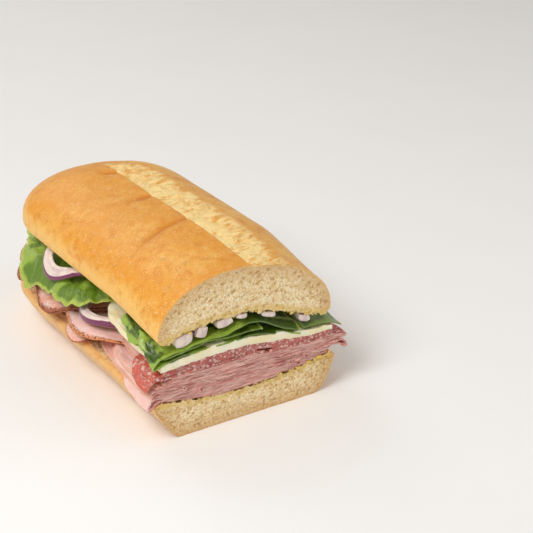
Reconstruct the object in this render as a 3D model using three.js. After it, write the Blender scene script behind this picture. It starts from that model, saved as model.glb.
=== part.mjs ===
// One half of a long filled roll, cut across, lying on its flat underside.
// Millimetres, +Z up. X runs across the roll and Y along it, from the cut face to the closed end.
// The shapes are worked out in roll coordinates, where x = 0 is the middle of the roll at every y.
import * as THREE from "three";

// Driving dimensions.
const LENGTH = 147;
const BASE = { halfWidth: 41, reach: 42 };
const TOP = { halfWidth: 38.5, reach: 37 };
const BASE_RIM_HEIGHT = 15;
const BED_HEIGHT = 13;
const BED_RISE = 5.5;
const TOP_EDGE_HEIGHT = 38.5;
const TOP_EDGE_LIFT = 6;
const TOP_EDGE_END_DROP = 2;
const TOP_LIP = 3.5;
const TOP_RISE_AT_CUT = 28;
const TOP_RISE_INSIDE = 23.5;
const HOLLOW_AT_CUT = 8;
const HOLLOW_INSIDE = 6;
const BIAS = 0.06;
const END_POWER = 2.15;
const BASE_FLAT = 0.74;
const BASE_LIP = 0.86;
const TOP_UNDER_LIP = 0.9;

// The filling: how far it droops outside the roll, its clearances and its thin pieces.
const FLOOR_DROOP = 5;
const CEILING_DROOP = 8;
const BED_CLEARANCE = 0.7;
const CEILING_CLEARANCE = 0.5;
const SLICE_GAP = 0.5;
const LEAF_THICKNESS = 1.0;

// Diced onion: how deep it goes, and how its cubes narrow, lean, bulge and sink inwards.
const DICE_DEPTH = 5.5;
const DICE_TAPER = 0.12;
const DICE_LEAN = 0.8;
const DICE_BULGE = 0.5;
const DICE_SINK = 0.5;

// Levels of the slices, as shares of the filling's depth from its floor to its ceiling.
const HAM_LEVELS = [[0.0, 0.08], [0.08, 0.155], [0.165, 0.24], [0.24, 0.32], [0.32, 0.4]];
const SALAMI_LEVELS = [[0.405, 0.48], [0.48, 0.56]];
const CHEESE_LEVEL = [0.57, 0.68];

// The pale torn strip along the crown, and the short creases that run out of it.
const STRIP_START = 2;
const STRIP_WIDTH = 18;
const STRIP_STEP = 0.9;
const STRIP_END = 52;
const CREASE_DEPTH = 0.9;
const CREASE_WIDTH = 2.4;
const CREASES = [
  { y: -29, reach: 34, sweep: 0.42 },
  { y: -1.5, reach: 12, sweep: 0.2 },
  { y: 28, reach: 9, sweep: -0.3 },
];

const CUT_Y = -76;
const ARC_Y = CUT_Y + LENGTH - BASE.reach;

// Rings and columns crowd towards a sheet's edge, where it droops.
const CROWDING = 1.5;
const SWEEP = 0.93;

// Outline of a slice that reaches the cut: how blunt its inner end is, and how round its corners.
const BLUNT = 0.985;
const CORNER = 2.2;

// Edges of the leaves, as a share of their size, and the rings' length over their width.
const SCALLOP = 0.05;
const RING_STRETCH = 1.06;

const clamp = (v, low, high) => Math.min(high, Math.max(low, v));
const mix = (a, b, t) => a + (b - a) * t;

function smooth(from, to, v) {
  const t = clamp((v - from) / (to - from), 0, 1);
  return t * t * (3 - 2 * t);
}

function power(v, exponent) {
  return Math.sign(v) * Math.abs(v) ** exponent;
}

// The cut runs a little aslant, so the middle of the roll drifts sideways along its length.
const middle = (y) => -BIAS * y;

// How far out a place lies: 0 on the middle line, 1 on the outline of this half of the roll.
function outness(x, y, half) {
  const across = Math.abs(x) / half.halfWidth;
  const along = Math.max(0, (y - ARC_Y) / half.reach);
  return (across ** END_POWER + along ** END_POWER) ** (1 / END_POWER);
}

// 1 beside the cut on the right-hand side, where the filling sticks out level, fading to 0.
function levelSide(x, y) {
  return smooth(-10, 10, x) * (1 - smooth(-60, -15, y));
}

// How far a place is behind the cut: 0 near it, 1 where the top roll has its full form.
const behindCut = (y) => smooth(-80, -35, y);

// Lower edge of the top roll, which lifts and levels out behind the cut.
function topEdge(x, y) {
  const tilt = mix(-0.075, -0.02, smooth(CUT_Y, -30, y));
  const lift = TOP_EDGE_LIFT * behindCut(y) - TOP_EDGE_END_DROP * smooth(30, 71, y);
  return TOP_EDGE_HEIGHT + lift + tilt * x;
}

// Crumb under the top roll: a shallow hollow, flatter towards the right.
function topHollow(x, y) {
  const out = Math.min(1, outness(x, y, TOP));
  const rise = mix(HOLLOW_AT_CUT, HOLLOW_INSIDE, smooth(CUT_Y, -20, y));
  const left = 1 - out ** 2;
  const right = (1 - out ** 1.7) ** 2;
  return topEdge(x, y) + rise * mix(left, right, smooth(-4, 4, x));
}

function bed(x, y) {
  return BED_HEIGHT + BED_RISE * Math.min(1.2, outness(x, y, BASE)) ** 2;
}

// Lowest surface of the filling: on the bed, then drooping outside the rim.
function fillingFloor(x, y) {
  const out = outness(x, y, BASE);
  const droop = FLOOR_DROOP * (1 - 0.7 * levelSide(x, y));
  const past = Math.max(0, (out - 0.95) / 0.14);
  return bed(x, y) + BED_CLEARANCE - droop * Math.min(past, 1.5) ** 2;
}

// Highest surface of the filling: under the crumb, then sloping down outside the top roll.
function fillingCeiling(x, y) {
  const out = outness(x, y, TOP);
  const droop = CEILING_DROOP * (1 - 0.5 * levelSide(x, y));
  const past = Math.max(0, (out - 0.98) / 0.2);
  return topHollow(x, y) - CEILING_CLEARANCE - droop * past ** 1.25;
}

// Height at a share of the filling's depth: 0 at its floor, 1 at its ceiling.
function level(share, x, y) {
  return mix(fillingFloor(x, y), fillingCeiling(x, y), share);
}

// Builds one closed surface from triangles, merging equal corners and dropping empty triangles.
class Skin {
  constructor() {
    this.points = [];
    this.index = [];
    this.known = new Map();
  }

  corner(p) {
    const key = p.map((v) => Math.round(v * 2000)).join(",");
    if (!this.known.has(key)) {
      this.known.set(key, this.points.length / 3);
      this.points.push(...p);
    }
    return this.known.get(key);
  }

  triangle(a, b, c) {
    const [i, j, k] = [a, b, c].map((p) => this.corner(p));
    if (i !== j && j !== k && k !== i) this.index.push(i, j, k);
  }

  quad(a, b, c, d) {
    this.triangle(a, b, c);
    this.triangle(a, c, d);
  }

  volume() {
    let sum = 0;
    const at = (n) => new THREE.Vector3().fromArray(this.points, 3 * n);
    for (let n = 0; n < this.index.length; n += 3) {
      const [a, b, c] = [0, 1, 2].map((m) => at(this.index[n + m]));
      sum += a.dot(b.cross(c));
    }
    return sum / 6;
  }

  geometry() {
    if (this.volume() < 0) this.index.reverse();
    const shape = new THREE.BufferGeometry();
    shape.setAttribute("position", new THREE.Float32BufferAttribute(this.points, 3));
    shape.setIndex(this.index);
    return shape;
  }
}

const model = new THREE.Group();

function add(name, skin, material) {
  const piece = new THREE.Mesh(skin.geometry(), material);
  piece.name = name;
  model.add(piece);
}

const place = (x, y, z) => [x + middle(y), y, z];

// A block bent by a rule: rule(u, v, w) gives a place for u, v, w in 0..1.
// The faces at w = 0 and w = 1 are split into triangles alike.
function block(rule, [nu, nv, nw]) {
  const skin = new Skin();
  const at = (i, j, k) => rule(i / nu, j / nv, k / nw);
  for (let i = 0; i < nu; i++) {
    for (let j = 0; j < nv; j++) {
      const [a, b, c, d] = [[i, j], [i + 1, j], [i + 1, j + 1], [i, j + 1]];
      skin.quad(at(...a, nw), at(...b, nw), at(...c, nw), at(...d, nw));
      skin.triangle(at(...a, 0), at(...c, 0), at(...b, 0));
      skin.triangle(at(...a, 0), at(...d, 0), at(...c, 0));
    }
    for (let k = 0; k < nw; k++) {
      skin.quad(at(i, 0, k), at(i + 1, 0, k), at(i + 1, 0, k + 1), at(i, 0, k + 1));
      skin.quad(at(i, nv, k + 1), at(i + 1, nv, k + 1), at(i + 1, nv, k), at(i, nv, k));
    }
  }
  for (let j = 0; j < nv; j++) {
    for (let k = 0; k < nw; k++) {
      skin.quad(at(0, j, k + 1), at(0, j + 1, k + 1), at(0, j + 1, k), at(0, j, k));
      skin.quad(at(nu, j, k), at(nu, j + 1, k), at(nu, j + 1, k + 1), at(nu, j, k + 1));
    }
  }
  return skin;
}

// A flat sheet of closed outline, with an upper and a lower face; a hole makes it a ring.
function disk(outline, [rings, spokes], hole, low, high) {
  const skin = new Skin();
  const at = (i, j, top) => {
    const angle = (2 * Math.PI * (j % spokes)) / spokes;
    const share = mix(hole, 1, 1 - (1 - i / rings) ** CROWDING);
    const [x, y] = outline(angle, share);
    return place(x, y, (top ? high : low)(x, y, share, angle));
  };
  for (let j = 0; j < spokes; j++) {
    for (let i = 0; i < rings; i++) {
      skin.quad(at(i, j, 1), at(i + 1, j, 1), at(i + 1, j + 1, 1), at(i, j + 1, 1));
      skin.triangle(at(i, j, 0), at(i + 1, j + 1, 0), at(i + 1, j, 0));
      skin.triangle(at(i, j, 0), at(i, j + 1, 0), at(i + 1, j + 1, 0));
    }
    skin.quad(at(rings, j, 0), at(rings, j + 1, 0), at(rings, j + 1, 1), at(rings, j, 1));
    if (hole > 0) {
      skin.quad(at(0, j, 1), at(0, j + 1, 1), at(0, j + 1, 0), at(0, j, 0));
    }
  }
  return skin;
}

// One half of the roll: an upper and a lower surface over a plan with one round end.
// The plan is swept from its right side at the cut, round the end, to its left side.
function rollHalf(half, outs, upper, lower) {
  const sideSteps = 11;
  const arcSteps = 14;
  const stations = [];
  for (let n = 0; n < sideSteps; n++) {
    stations.push({ spine: mix(CUT_Y, ARC_Y, n / sideSteps), angle: 0 });
  }
  for (let n = 0; n <= arcSteps; n++) {
    stations.push({ spine: ARC_Y, angle: (Math.PI * n) / arcSteps });
  }
  for (let n = sideSteps - 1; n >= 0; n--) {
    stations.push({ spine: mix(CUT_Y, ARC_Y, n / sideSteps), angle: Math.PI });
  }
  const skin = new Skin();
  const at = (station, out, surface) => {
    const x = half.halfWidth * out * power(Math.cos(station.angle), 2 / END_POWER);
    const y = station.spine + half.reach * out * power(Math.sin(station.angle), 2 / END_POWER);
    return place(x, y, surface(x, y, out));
  };
  for (let n = 0; n + 1 < stations.length; n++) {
    const [s, t] = [stations[n], stations[n + 1]];
    for (let m = 0; m + 1 < outs.length; m++) {
      const [p, q] = [outs[m], outs[m + 1]];
      skin.quad(at(s, p, upper), at(s, q, upper), at(t, q, upper), at(t, p, upper));
      skin.quad(at(s, p, lower), at(t, p, lower), at(t, q, lower), at(s, q, lower));
    }
  }
  for (const [side, turn] of [[stations[0], 1], [stations.at(-1), -1]]) {
    for (let m = 0; m + 1 < outs.length; m++) {
      const [p, q] = turn > 0 ? [outs[m], outs[m + 1]] : [outs[m + 1], outs[m]];
      skin.quad(at(side, p, lower), at(side, q, lower), at(side, q, upper), at(side, p, upper));
    }
  }
  return skin;
}

function baseUpper(x, y, out) {
  const round = Math.max(0, (out - BASE_LIP) / (1 - BASE_LIP));
  return mix(BASE_RIM_HEIGHT, bed(x, y), Math.sqrt(Math.max(0, 1 - round ** 2)));
}

function baseLower(x, y, out) {
  const steepness = 1.72 + 0.28 * clamp(x / 20, -1, 1);
  return BASE_RIM_HEIGHT * Math.max(0, (out - BASE_FLAT) / (1 - BASE_FLAT)) ** steepness;
}

// Depth of the strip's torn floor below the smooth crust, and of the creases beside it.
function crownRelief(x, y) {
  const across = smooth(STRIP_START, STRIP_START + 1.2, x);
  const fade = 1 - smooth(STRIP_START + 4, STRIP_START + STRIP_WIDTH, x);
  const strip = STRIP_STEP * across * fade * (1 - smooth(STRIP_END - 8, STRIP_END, y));
  let crease = 0;
  for (const { y: start, reach, sweep } of CREASES) {
    const run = STRIP_START - x;
    const off = (y - (start - sweep * run)) / CREASE_WIDTH;
    const along = smooth(-2, 0, run) * (1 - smooth(0.4 * reach, reach, run));
    crease += CREASE_DEPTH * along * Math.exp(-(off ** 2));
  }
  return strip + crease;
}

function topUpper(x, y, out) {
  const roundness = mix(2, 2.3, behindCut(y));
  const rise = mix(TOP_RISE_AT_CUT, TOP_RISE_INSIDE, behindCut(y)) - TOP_LIP;
  const dome = (1 - Math.min(1, out) ** roundness) ** (1 / roundness);
  return topEdge(x, y) + TOP_LIP + rise * dome - crownRelief(x, y) * smooth(1, 0.8, out);
}

function topLower(x, y, out) {
  const round = Math.max(0, (out - TOP_UNDER_LIP) / (1 - TOP_UNDER_LIP));
  const rim = topEdge(x, y) + TOP_LIP;
  return mix(rim, topHollow(x, y), Math.sqrt(Math.max(0, 1 - round ** 2)));
}

// A slice that reaches the cut: flush there, with left and right edges, and rounded inside.
function cutSlice({ shares, left, right, end, steps = [12, 7], power: p = 3 }) {
  const rule = (u, v, w) => {
    const t = Math.sin((Math.PI / 2) * v * SWEEP) / Math.sin((Math.PI / 2) * SWEEP);
    const width = (1 - (BLUNT * t) ** p) ** (1 / CORNER);
    const centre = (left + right) / 2;
    const across = Math.sin((Math.PI / 2) * (2 * u - 1));
    const x = centre + across * (right - centre) * width;
    const y = mix(CUT_Y, end, t);
    return place(x, y, mix(sliceLow(shares, x, y), sliceHigh(shares, x, y), w));
  };
  return block(rule, [...steps, 1]);
}

const sliceLow = (shares, x, y) => level(shares[0], x, y) + SLICE_GAP / 2;
const sliceHigh = (shares, x, y) => level(shares[1], x, y) - SLICE_GAP / 2;

// A whole slice inside the roll, of oval or squarish outline.
function innerSlice({ shares, at: [cx, cy], size: [rx, ry], steps = [4, 20], square = 2 }) {
  const outline = (angle, share) => [
    cx + rx * share * power(Math.cos(angle), 2 / square),
    cy + ry * share * power(Math.sin(angle), 2 / square),
  ];
  const low = (x, y) => sliceLow(shares, x, y);
  const high = (x, y) => sliceHigh(shares, x, y);
  return disk(outline, steps, 0, low, high);
}

// A leaf: a thin sheet with a scalloped outline, ruffled towards its edge.
function leaf({ share, at: [cx, cy], size: [rx, ry], lobes, ruffle, steps = [5, 30] }) {
  const outline = (angle, out) => {
    const scallop = 1 + SCALLOP * out ** 3 * Math.sin(lobes * angle + 1);
    return [cx + rx * out * scallop * Math.cos(angle), cy + ry * out * scallop * Math.sin(angle)];
  };
  const low = (x, y, out, angle) => {
    const wave = Math.sin(lobes * angle) + 0.4 * Math.sin(2.3 * lobes * angle + 2 * out);
    return level(share + ruffle * out ** 3 * wave, x, y);
  };
  const high = (x, y, out, angle) => low(x, y, out, angle) + LEAF_THICKNESS;
  return disk(outline, steps, 0, low, high);
}

function onionRing({ shares, at: [cx, cy], radius, hole }) {
  const outline = (angle, out) => [
    cx + radius * out * Math.cos(angle),
    cy + radius * out * Math.sin(angle) * RING_STRETCH,
  ];
  const low = (x, y) => sliceLow(shares, x, y);
  const high = (x, y) => sliceHigh(shares, x, y);
  return disk(outline, [2, 24], hole, low, high);
}

// The leaf folded double beside the cut: the lower layer, the fold on the left, the upper layer.
function foldedLeaf() {
  const [left, right, end] = [-39.5, 24, -46];
  const bend = 0.14;
  const foldReach = 3.4;
  const lowerShare = 0.7;
  const archHeight = 0.13;
  const arch = (x) => archHeight * Math.exp(-(((x - 4) / 11) ** 2));
  const upperShare = (x, v) => 0.775 + Math.max(arch(x), archHeight * smooth(0.15, 0.55, v));
  const rule = (u, v, w) => {
    const y = mix(CUT_Y, end, v);
    const turn = (clamp((u - 0.5) / bend, -1, 1) * Math.PI) / 2;
    const flat = clamp((Math.abs(u - 0.5) - bend) / (0.5 - bend), 0, 1);
    const offset = (w - 0.5) * LEAF_THICKNESS;
    const fold = left * (1 - 0.1 * v ** 2) + foldReach;
    const x = mix(fold, right - 3 * v, flat) - (foldReach + offset) * Math.cos(turn);
    const share = mix(lowerShare, upperShare(x, v), (1 + Math.sin(turn)) / 2);
    return place(x, y, level(share, x, y) + offset * Math.sin(turn));
  };
  return block(rule, [24, 5, 1]);
}

// A cube of onion at the cut: a curved wedge of one layer.
function onionDice({ x, width, height }) {
  const rule = (u, v, w) => {
    const px = x + (u - 0.5) * width * (1 - DICE_TAPER * v) + DICE_LEAN * (w - 0.5);
    const y = CUT_Y + DICE_DEPTH * v * (1 - 0.15 * Math.abs(u - 0.5));
    const bulge = DICE_BULGE * Math.sin(Math.PI * u);
    const top = topHollow(px, y) - CEILING_CLEARANCE;
    return place(px, y, top - height * (1 - w) - bulge * (1 - w) - DICE_SINK * v);
  };
  return block(rule, [4, 2, 2]);
}

const matte = (colour, roughness) => new THREE.MeshStandardMaterial({
  color: colour, roughness, metalness: 0,
});
const crust = matte(0xe0a04e, 0.6);
const ham = matte(0xd9989a, 0.45);
const darkHam = matte(0xb8603a, 0.45);
const salami = matte(0xb9504a, 0.5);
const cheese = matte(0xf0e2b4, 0.5);
const lettuce = matte(0x6d9a2c, 0.5);
const onion = matte(0xd8c4d2, 0.4);

const baseOuts = [0, 0.3, 0.55, 0.74, 0.8, 0.86, 0.9, 0.94, 0.97, 0.99, 1];
const topOuts = [0, 0.05, 0.085, 0.2, 0.35, 0.5, 0.63, 0.75, 0.85, 0.9, 0.94, 0.975, 0.993, 1];
add("roll_bottom", rollHalf(BASE, baseOuts, baseUpper, baseLower), crust);
add("roll_top", rollHalf(TOP, topOuts, topUpper, topLower), crust);

const [hamA, hamB, hamC, hamD, hamE] = HAM_LEVELS;
add("ham_1", cutSlice({ shares: hamA, left: -43, right: 37, end: -38, power: 5 }), ham);
add("ham_2", cutSlice({ shares: hamB, left: -41.5, right: 46.5, end: -6, power: 4 }), ham);
add("ham_3", cutSlice({ shares: hamC, left: -42.5, right: 42, end: -26, power: 5 }), ham);
add("ham_4", cutSlice({ shares: hamD, left: -39.5, right: 45, end: -59, steps: [12, 4] }), ham);
add("ham_5", cutSlice({ shares: hamE, left: -37, right: 46, end: -20 }), ham);
add("ham_6", innerSlice({ shares: hamD, at: [-8, -18], size: [36, 34] }), ham);
add("ham_7", innerSlice({ shares: hamA, at: [3, 16], size: [39.5, 46] }), ham);
add("ham_8", innerSlice({ shares: hamB, at: [0, 31], size: [38.5, 35] }), ham);
add("ham_9", innerSlice({ shares: hamC, at: [0, 20], size: [41, 42] }), ham);
add("ham_fold", innerSlice({ shares: hamA, at: [-40.5, -13], size: [3.4, 8], steps: [2, 14] }), darkHam);
add("hot_ham_1", innerSlice({ shares: hamE, at: [-12, 9], size: [32, 27] }), darkHam);
add("hot_ham_2", innerSlice({ shares: hamD, at: [-5, 38], size: [34.5, 20] }), darkHam);

const [salamiF, salamiG] = SALAMI_LEVELS;
const salamiEnds = { left: -44, right: 8, end: -53, steps: [9, 5], power: 4 };
add("salami_1", cutSlice({ shares: salamiF, ...salamiEnds }), salami);
add("salami_2", cutSlice({ shares: salamiF, left: 10, right: 46.5, end: -30, steps: [8, 7] }), salami);
add("salami_3", cutSlice({ shares: salamiG, left: -38, right: 40, end: -48, steps: [12, 5] }), salami);
add("salami_4", innerSlice({ shares: salamiF, at: [12, -2], size: [24, 24], steps: [4, 22] }), salami);
add("salami_5", innerSlice({ shares: salamiG, at: [-12, 33], size: [29, 26], steps: [4, 22] }), salami);
add("salami_6", innerSlice({ shares: salamiF, at: [20, 43], size: [21, 20], steps: [4, 22] }), salami);

const squareEnd = { end: -19, power: 8 };
add("cheese_1", cutSlice({ shares: CHEESE_LEVEL, left: -37.5, right: 39, ...squareEnd }), cheese);
const cheeseSize = { at: [0, 20], size: [36.5, 37], square: 4, steps: [5, 24] };
add("cheese_2", innerSlice({ shares: CHEESE_LEVEL, ...cheeseSize }), cheese);

add("lettuce_1", foldedLeaf(), lettuce);
const leftLeaf = { share: 0.74, at: [-17, 10], size: [29, 45], lobes: 7, ruffle: 0.03 };
add("lettuce_2", leaf(leftLeaf), lettuce);
const rightLeaf = { share: 0.835, at: [18, 20], size: [28, 39], lobes: 7, ruffle: 0.03 };
add("lettuce_4", leaf(rightLeaf), lettuce);
const endLeaf = { share: 0.91, at: [2, 42], size: [24, 27], lobes: 6, ruffle: 0.02 };
add("lettuce_5", leaf({ ...endLeaf, steps: [4, 28] }), lettuce);
const cutLeaf = { shares: [0.74, 0.8], left: 25, right: 44, end: -24, steps: [7, 8] };
add("lettuce_3", cutSlice(cutLeaf), lettuce);

add("onion_ring_1", onionRing({ shares: [0.88, 0.97], at: [-26, 6], radius: 17, hole: 0.7 }), onion);
add("onion_ring_2", onionRing({ shares: [0.42, 0.56], at: [-27, -21], radius: 14.5, hole: 0.68 }), onion);
add("onion_ring_3", onionRing({ shares: [0.68, 0.76], at: [28, -6], radius: 14, hole: 0.68 }), onion);

const DICE = [
  { x: -27, width: 8, height: 3.8 },
  { x: -19.5, width: 5, height: 3.4 },
  { x: -9.5, width: 8, height: 3 },
  { x: -2, width: 5, height: 1.4 },
  { x: 10, width: 6.5, height: 1.5 },
  { x: 26.5, width: 5.5, height: 2 },
];
DICE.forEach((dice, n) => add(`onion_dice_${n + 1}`, onionDice(dice), onion));

export default model;
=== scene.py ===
"""One half of a long filled roll, cut across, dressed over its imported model.

Shapes are worked out in millimetres in roll coordinates, where x = 0 is the middle of the roll at
every y, and are put into Blender in metres. The formulas of the roll and of the filling's levels
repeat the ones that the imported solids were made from.
"""

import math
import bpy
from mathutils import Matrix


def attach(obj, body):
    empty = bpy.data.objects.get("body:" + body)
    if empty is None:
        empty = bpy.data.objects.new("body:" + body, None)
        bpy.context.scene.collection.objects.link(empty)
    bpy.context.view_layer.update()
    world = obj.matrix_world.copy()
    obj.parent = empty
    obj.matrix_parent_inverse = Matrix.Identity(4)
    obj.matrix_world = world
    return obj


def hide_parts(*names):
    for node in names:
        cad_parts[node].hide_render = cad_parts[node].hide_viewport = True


bl_info = {
    "name": "Submarine Sandwich Half",
    "version": (1, 0, 0),
    "blender": (4, 5, 0),
    "location": "View3D > Sidebar > Sandwich",
    "description": "Builds one half of a long filled roll, cut across, and a stage",
    "category": "Add Mesh",
}

import bpy
import numpy as np
from mathutils import Vector

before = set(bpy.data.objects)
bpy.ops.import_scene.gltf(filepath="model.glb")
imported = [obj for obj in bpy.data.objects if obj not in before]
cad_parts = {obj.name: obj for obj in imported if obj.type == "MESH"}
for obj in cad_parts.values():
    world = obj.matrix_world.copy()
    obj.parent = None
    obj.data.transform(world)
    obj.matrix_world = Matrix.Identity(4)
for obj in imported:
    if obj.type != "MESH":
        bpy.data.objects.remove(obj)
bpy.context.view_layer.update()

BODY = "root"
MM = 0.001

# Driving dimensions of the roll, in millimetres.
LENGTH = 147
BASE_HALF_WIDTH, BASE_REACH = 41, 42
TOP_HALF_WIDTH, TOP_REACH = 38.5, 37
BASE_RIM_HEIGHT = 15
BED_HEIGHT, BED_RISE = 13, 5.5
TOP_EDGE_HEIGHT, TOP_EDGE_LIFT, TOP_EDGE_END_DROP, TOP_LIP = 38.5, 6, 2, 3.5
TOP_RISE_AT_CUT, TOP_RISE_INSIDE = 28, 23.5
BIAS = 0.06
END_POWER = 2.15
BASE_FLAT, BASE_LIP, TOP_LIP_INSIDE = 0.74, 0.86, 0.9
BED_CLEARANCE, CEILING_CLEARANCE = 0.7, 0.5
FLOOR_DROOP, CEILING_DROOP = 5, 8
CUT_Y = -76
ARC_Y = CUT_Y + LENGTH - BASE_REACH
STRIP_START, STRIP_WIDTH, STRIP_STEP, STRIP_END = 2, 18, 0.9, 52
CREASE_DEPTH, CREASE_WIDTH = 0.9, 2.4
CREASES = ((-29, 34, 0.42), (-1.5, 12, 0.2), (28, 9, -0.3))

# The crumb's pits at the cut and under the rolls' open sides: how many, their smallest and
# largest radii, and how deep they are as a share of the radius.
CUT_PITS, CUT_PIT_RADII = 1700, (0.25, 1.0)
OPEN_PITS, OPEN_PIT_RADII = 1400, (0.5, 2.2)
PIT_DEPTH = 0.55

# Relief of the roll: the open crumb's lumps and roughness, the crust's swell and roughness, and
# the bread's unevenness at the cut.
LUMPS, LUMP_ROUGHNESS = 3.2, 1.8
SWELL, CRUST_ROUGHNESS = 0.35, 0.05
CUT_UNEVENNESS = 0.25

# Distance from the crust beyond which the crumb no longer changes. Nearer the crust it is
# darker and warmer, partly toasted and partly painted shade.
DEEP_IN_CRUMB = 9

# Outline of a slice that reaches the cut: how blunt its inner end is, how round its corners.
BLUNT, CORNER = 0.985, 2.2

# Edges sharper than this, in degrees, stay sharp.
SHARP_EDGE = 50

# Levels of the filling as shares of its depth, from the bottom crumb to the crumb above, and
# that depth in the middle of the roll.
FILLING_DEPTH = 22
HAM_A, HAM_B, HAM_C = (0.0, 0.08), (0.08, 0.155), (0.165, 0.24)
HAM_D, HAM_E = (0.24, 0.32), (0.32, 0.4)
SALAMI_F, SALAMI_G = (0.405, 0.48), (0.48, 0.56)
CHEESE = (0.57, 0.68)


def linear(red, green, blue):
    """A colour given in 0..255 display values, as the linear values that shaders use."""
    parts = np.array([red, green, blue]) / 255
    low = parts <= 0.04045
    return tuple(np.where(low, parts / 12.92, ((parts + 0.055) / 1.055) ** 2.4).tolist())


def number(name, description, default, **more):
    """A property that holds a plain number."""
    return bpy.props.FloatProperty(name=name, description=description, default=default, **more)


def tint(name, description, colour):
    """A colour property with its default in display values."""
    return bpy.props.FloatVectorProperty(
        name=name, description=description, default=linear(*colour),
        subtype="COLOR", size=3, min=0, max=1)


def length(name, description, default):
    """A length property in millimetres."""
    return number(name, description, default, min=0)


# Curves and fields

def smooth(low, high, value):
    """0 below low, 1 above high, and a smooth step between."""
    t = np.clip((value - low) / (high - low), 0, 1)
    return t * t * (3 - 2 * t)


def mix(a, b, t):
    return a + (b - a) * t


def power(value, exponent):
    return np.sign(value) * np.abs(value) ** exponent


def grain(x, y, z, size, seed, octaves=3):
    """Even random field from about -1 to 1: random values on a lattice of the given spacing,
    blended by smooth steps, summed over octaves of half the size and half the strength."""
    total, strength, whole = 0, 1, 0
    for octave in range(octaves):
        table = np.random.default_rng(seed + octave).uniform(-1, 1, (32, 32, 32))
        spots = [np.asarray(c, float) * 2**octave / size + 7.3 * octave for c in (x, y, z)]
        cells = [np.floor(s).astype(int) for s in spots]
        parts = [(s - c) ** 2 * (3 - 2 * (s - c)) for s, c in zip(spots, cells)]
        value = 0
        for corner in np.ndindex(2, 2, 2):
            share = 1
            for part, side in zip(parts, corner):
                share = share * (part if side else 1 - part)
            i, j, k = [(c + side) % 32 for c, side in zip(cells, corner)]
            value = value + share * table[i, j, k]
        total = total + strength * value
        whole += strength
        strength /= 2
    return total / whole


def pits(u, v, centres, radii, slim, turn, depth):
    """Depth of scattered oval pits at the places u, v: in each, depth times the root of one less
    the squared distance from its middle, and the deepest where they meet."""
    deepest = np.zeros(np.shape(u))
    for (cu, cv), radius, narrow, angle, deep in zip(centres, radii, slim, turn, depth):
        du, dv = u - cu, v - cv
        near = (np.abs(du) < radius) & (np.abs(dv) < radius)
        along = du[near] * math.cos(angle) + dv[near] * math.sin(angle)
        across = (dv[near] * math.cos(angle) - du[near] * math.sin(angle)) / narrow
        inside = 1 - (along**2 + across**2) / radius**2
        deepest[near] = np.maximum(deepest[near], deep * np.sqrt(np.clip(inside, 0, 1)))
    return deepest


# The roll and the levels of its filling

def outness(x, y, half_width, reach):
    """How far out a place lies: 0 on the middle line, 1 on the outline, by a power mean of the
    shares across and along."""
    across = np.abs(x) / half_width
    along = np.maximum(0, (y - ARC_Y) / reach)
    return (across**END_POWER + along**END_POWER) ** (1 / END_POWER)


def level_side(x, y):
    """1 beside the cut on the right, where the filling sticks out level, fading to 0."""
    return smooth(-10, 10, x) * (1 - smooth(-60, -15, y))


def behind_cut(y):
    """0 near the cut, 1 where the top roll has its full form."""
    return smooth(-80, -35, y)


def top_edge(x, y):
    """Height of the top roll's lower edge, which lifts and levels out behind the cut."""
    tilt = mix(-0.075, -0.02, smooth(CUT_Y, -30, y))
    lift = TOP_EDGE_LIFT * behind_cut(y) - TOP_EDGE_END_DROP * smooth(30, 71, y)
    return TOP_EDGE_HEIGHT + lift + tilt * x


def top_hollow(x, y):
    """Height of the crumb under the top roll: a shallow hollow, flatter towards the right."""
    out = np.minimum(1, outness(x, y, TOP_HALF_WIDTH, TOP_REACH))
    rise = mix(8, 6, smooth(CUT_Y, -20, y))
    return top_edge(x, y) + rise * mix(1 - out**2, (1 - out**1.7) ** 2, smooth(-4, 4, x))


def bed(x, y):
    """Height of the bottom roll's crumb, rising towards its rim with the square of outness."""
    return BED_HEIGHT + BED_RISE * np.minimum(1.2, outness(x, y, BASE_HALF_WIDTH, BASE_REACH)) ** 2


def level(share, x, y):
    """Height at a share of the filling's depth, with a slow common ripple of half a millimetre,
    so that all layers rise and fall together. Floor and ceiling droop outside the roll."""
    side = level_side(x, y)
    past_base = np.clip((outness(x, y, BASE_HALF_WIDTH, BASE_REACH) - 0.95) / 0.14, 0, 1.5)
    past_top = np.maximum(0, (outness(x, y, TOP_HALF_WIDTH, TOP_REACH) - 0.98) / 0.2)
    floor = bed(x, y) + BED_CLEARANCE - FLOOR_DROOP * (1 - 0.7 * side) * past_base**2
    ceiling = top_hollow(x, y) - CEILING_CLEARANCE
    ceiling = ceiling - CEILING_DROOP * (1 - 0.5 * side) * past_top**1.25
    ripple = 0.55 * grain(x, y, 0, 13, 5, 2) * np.sin(np.pi * np.clip(share, 0, 1))
    return mix(floor, ceiling, share) + ripple


# Meshes

def steps(count, crowd=1.0):
    """Places from 0 to 1, closer together towards 0 when crowd is above 1."""
    return np.linspace(0, 1, count + 1) ** crowd


def both_ends(count):
    """Places from 0 to 1, closer together towards both ends, by a sine."""
    return (1 + np.sin(np.pi * (np.linspace(0, 1, count + 1) - 0.5))) / 2


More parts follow.
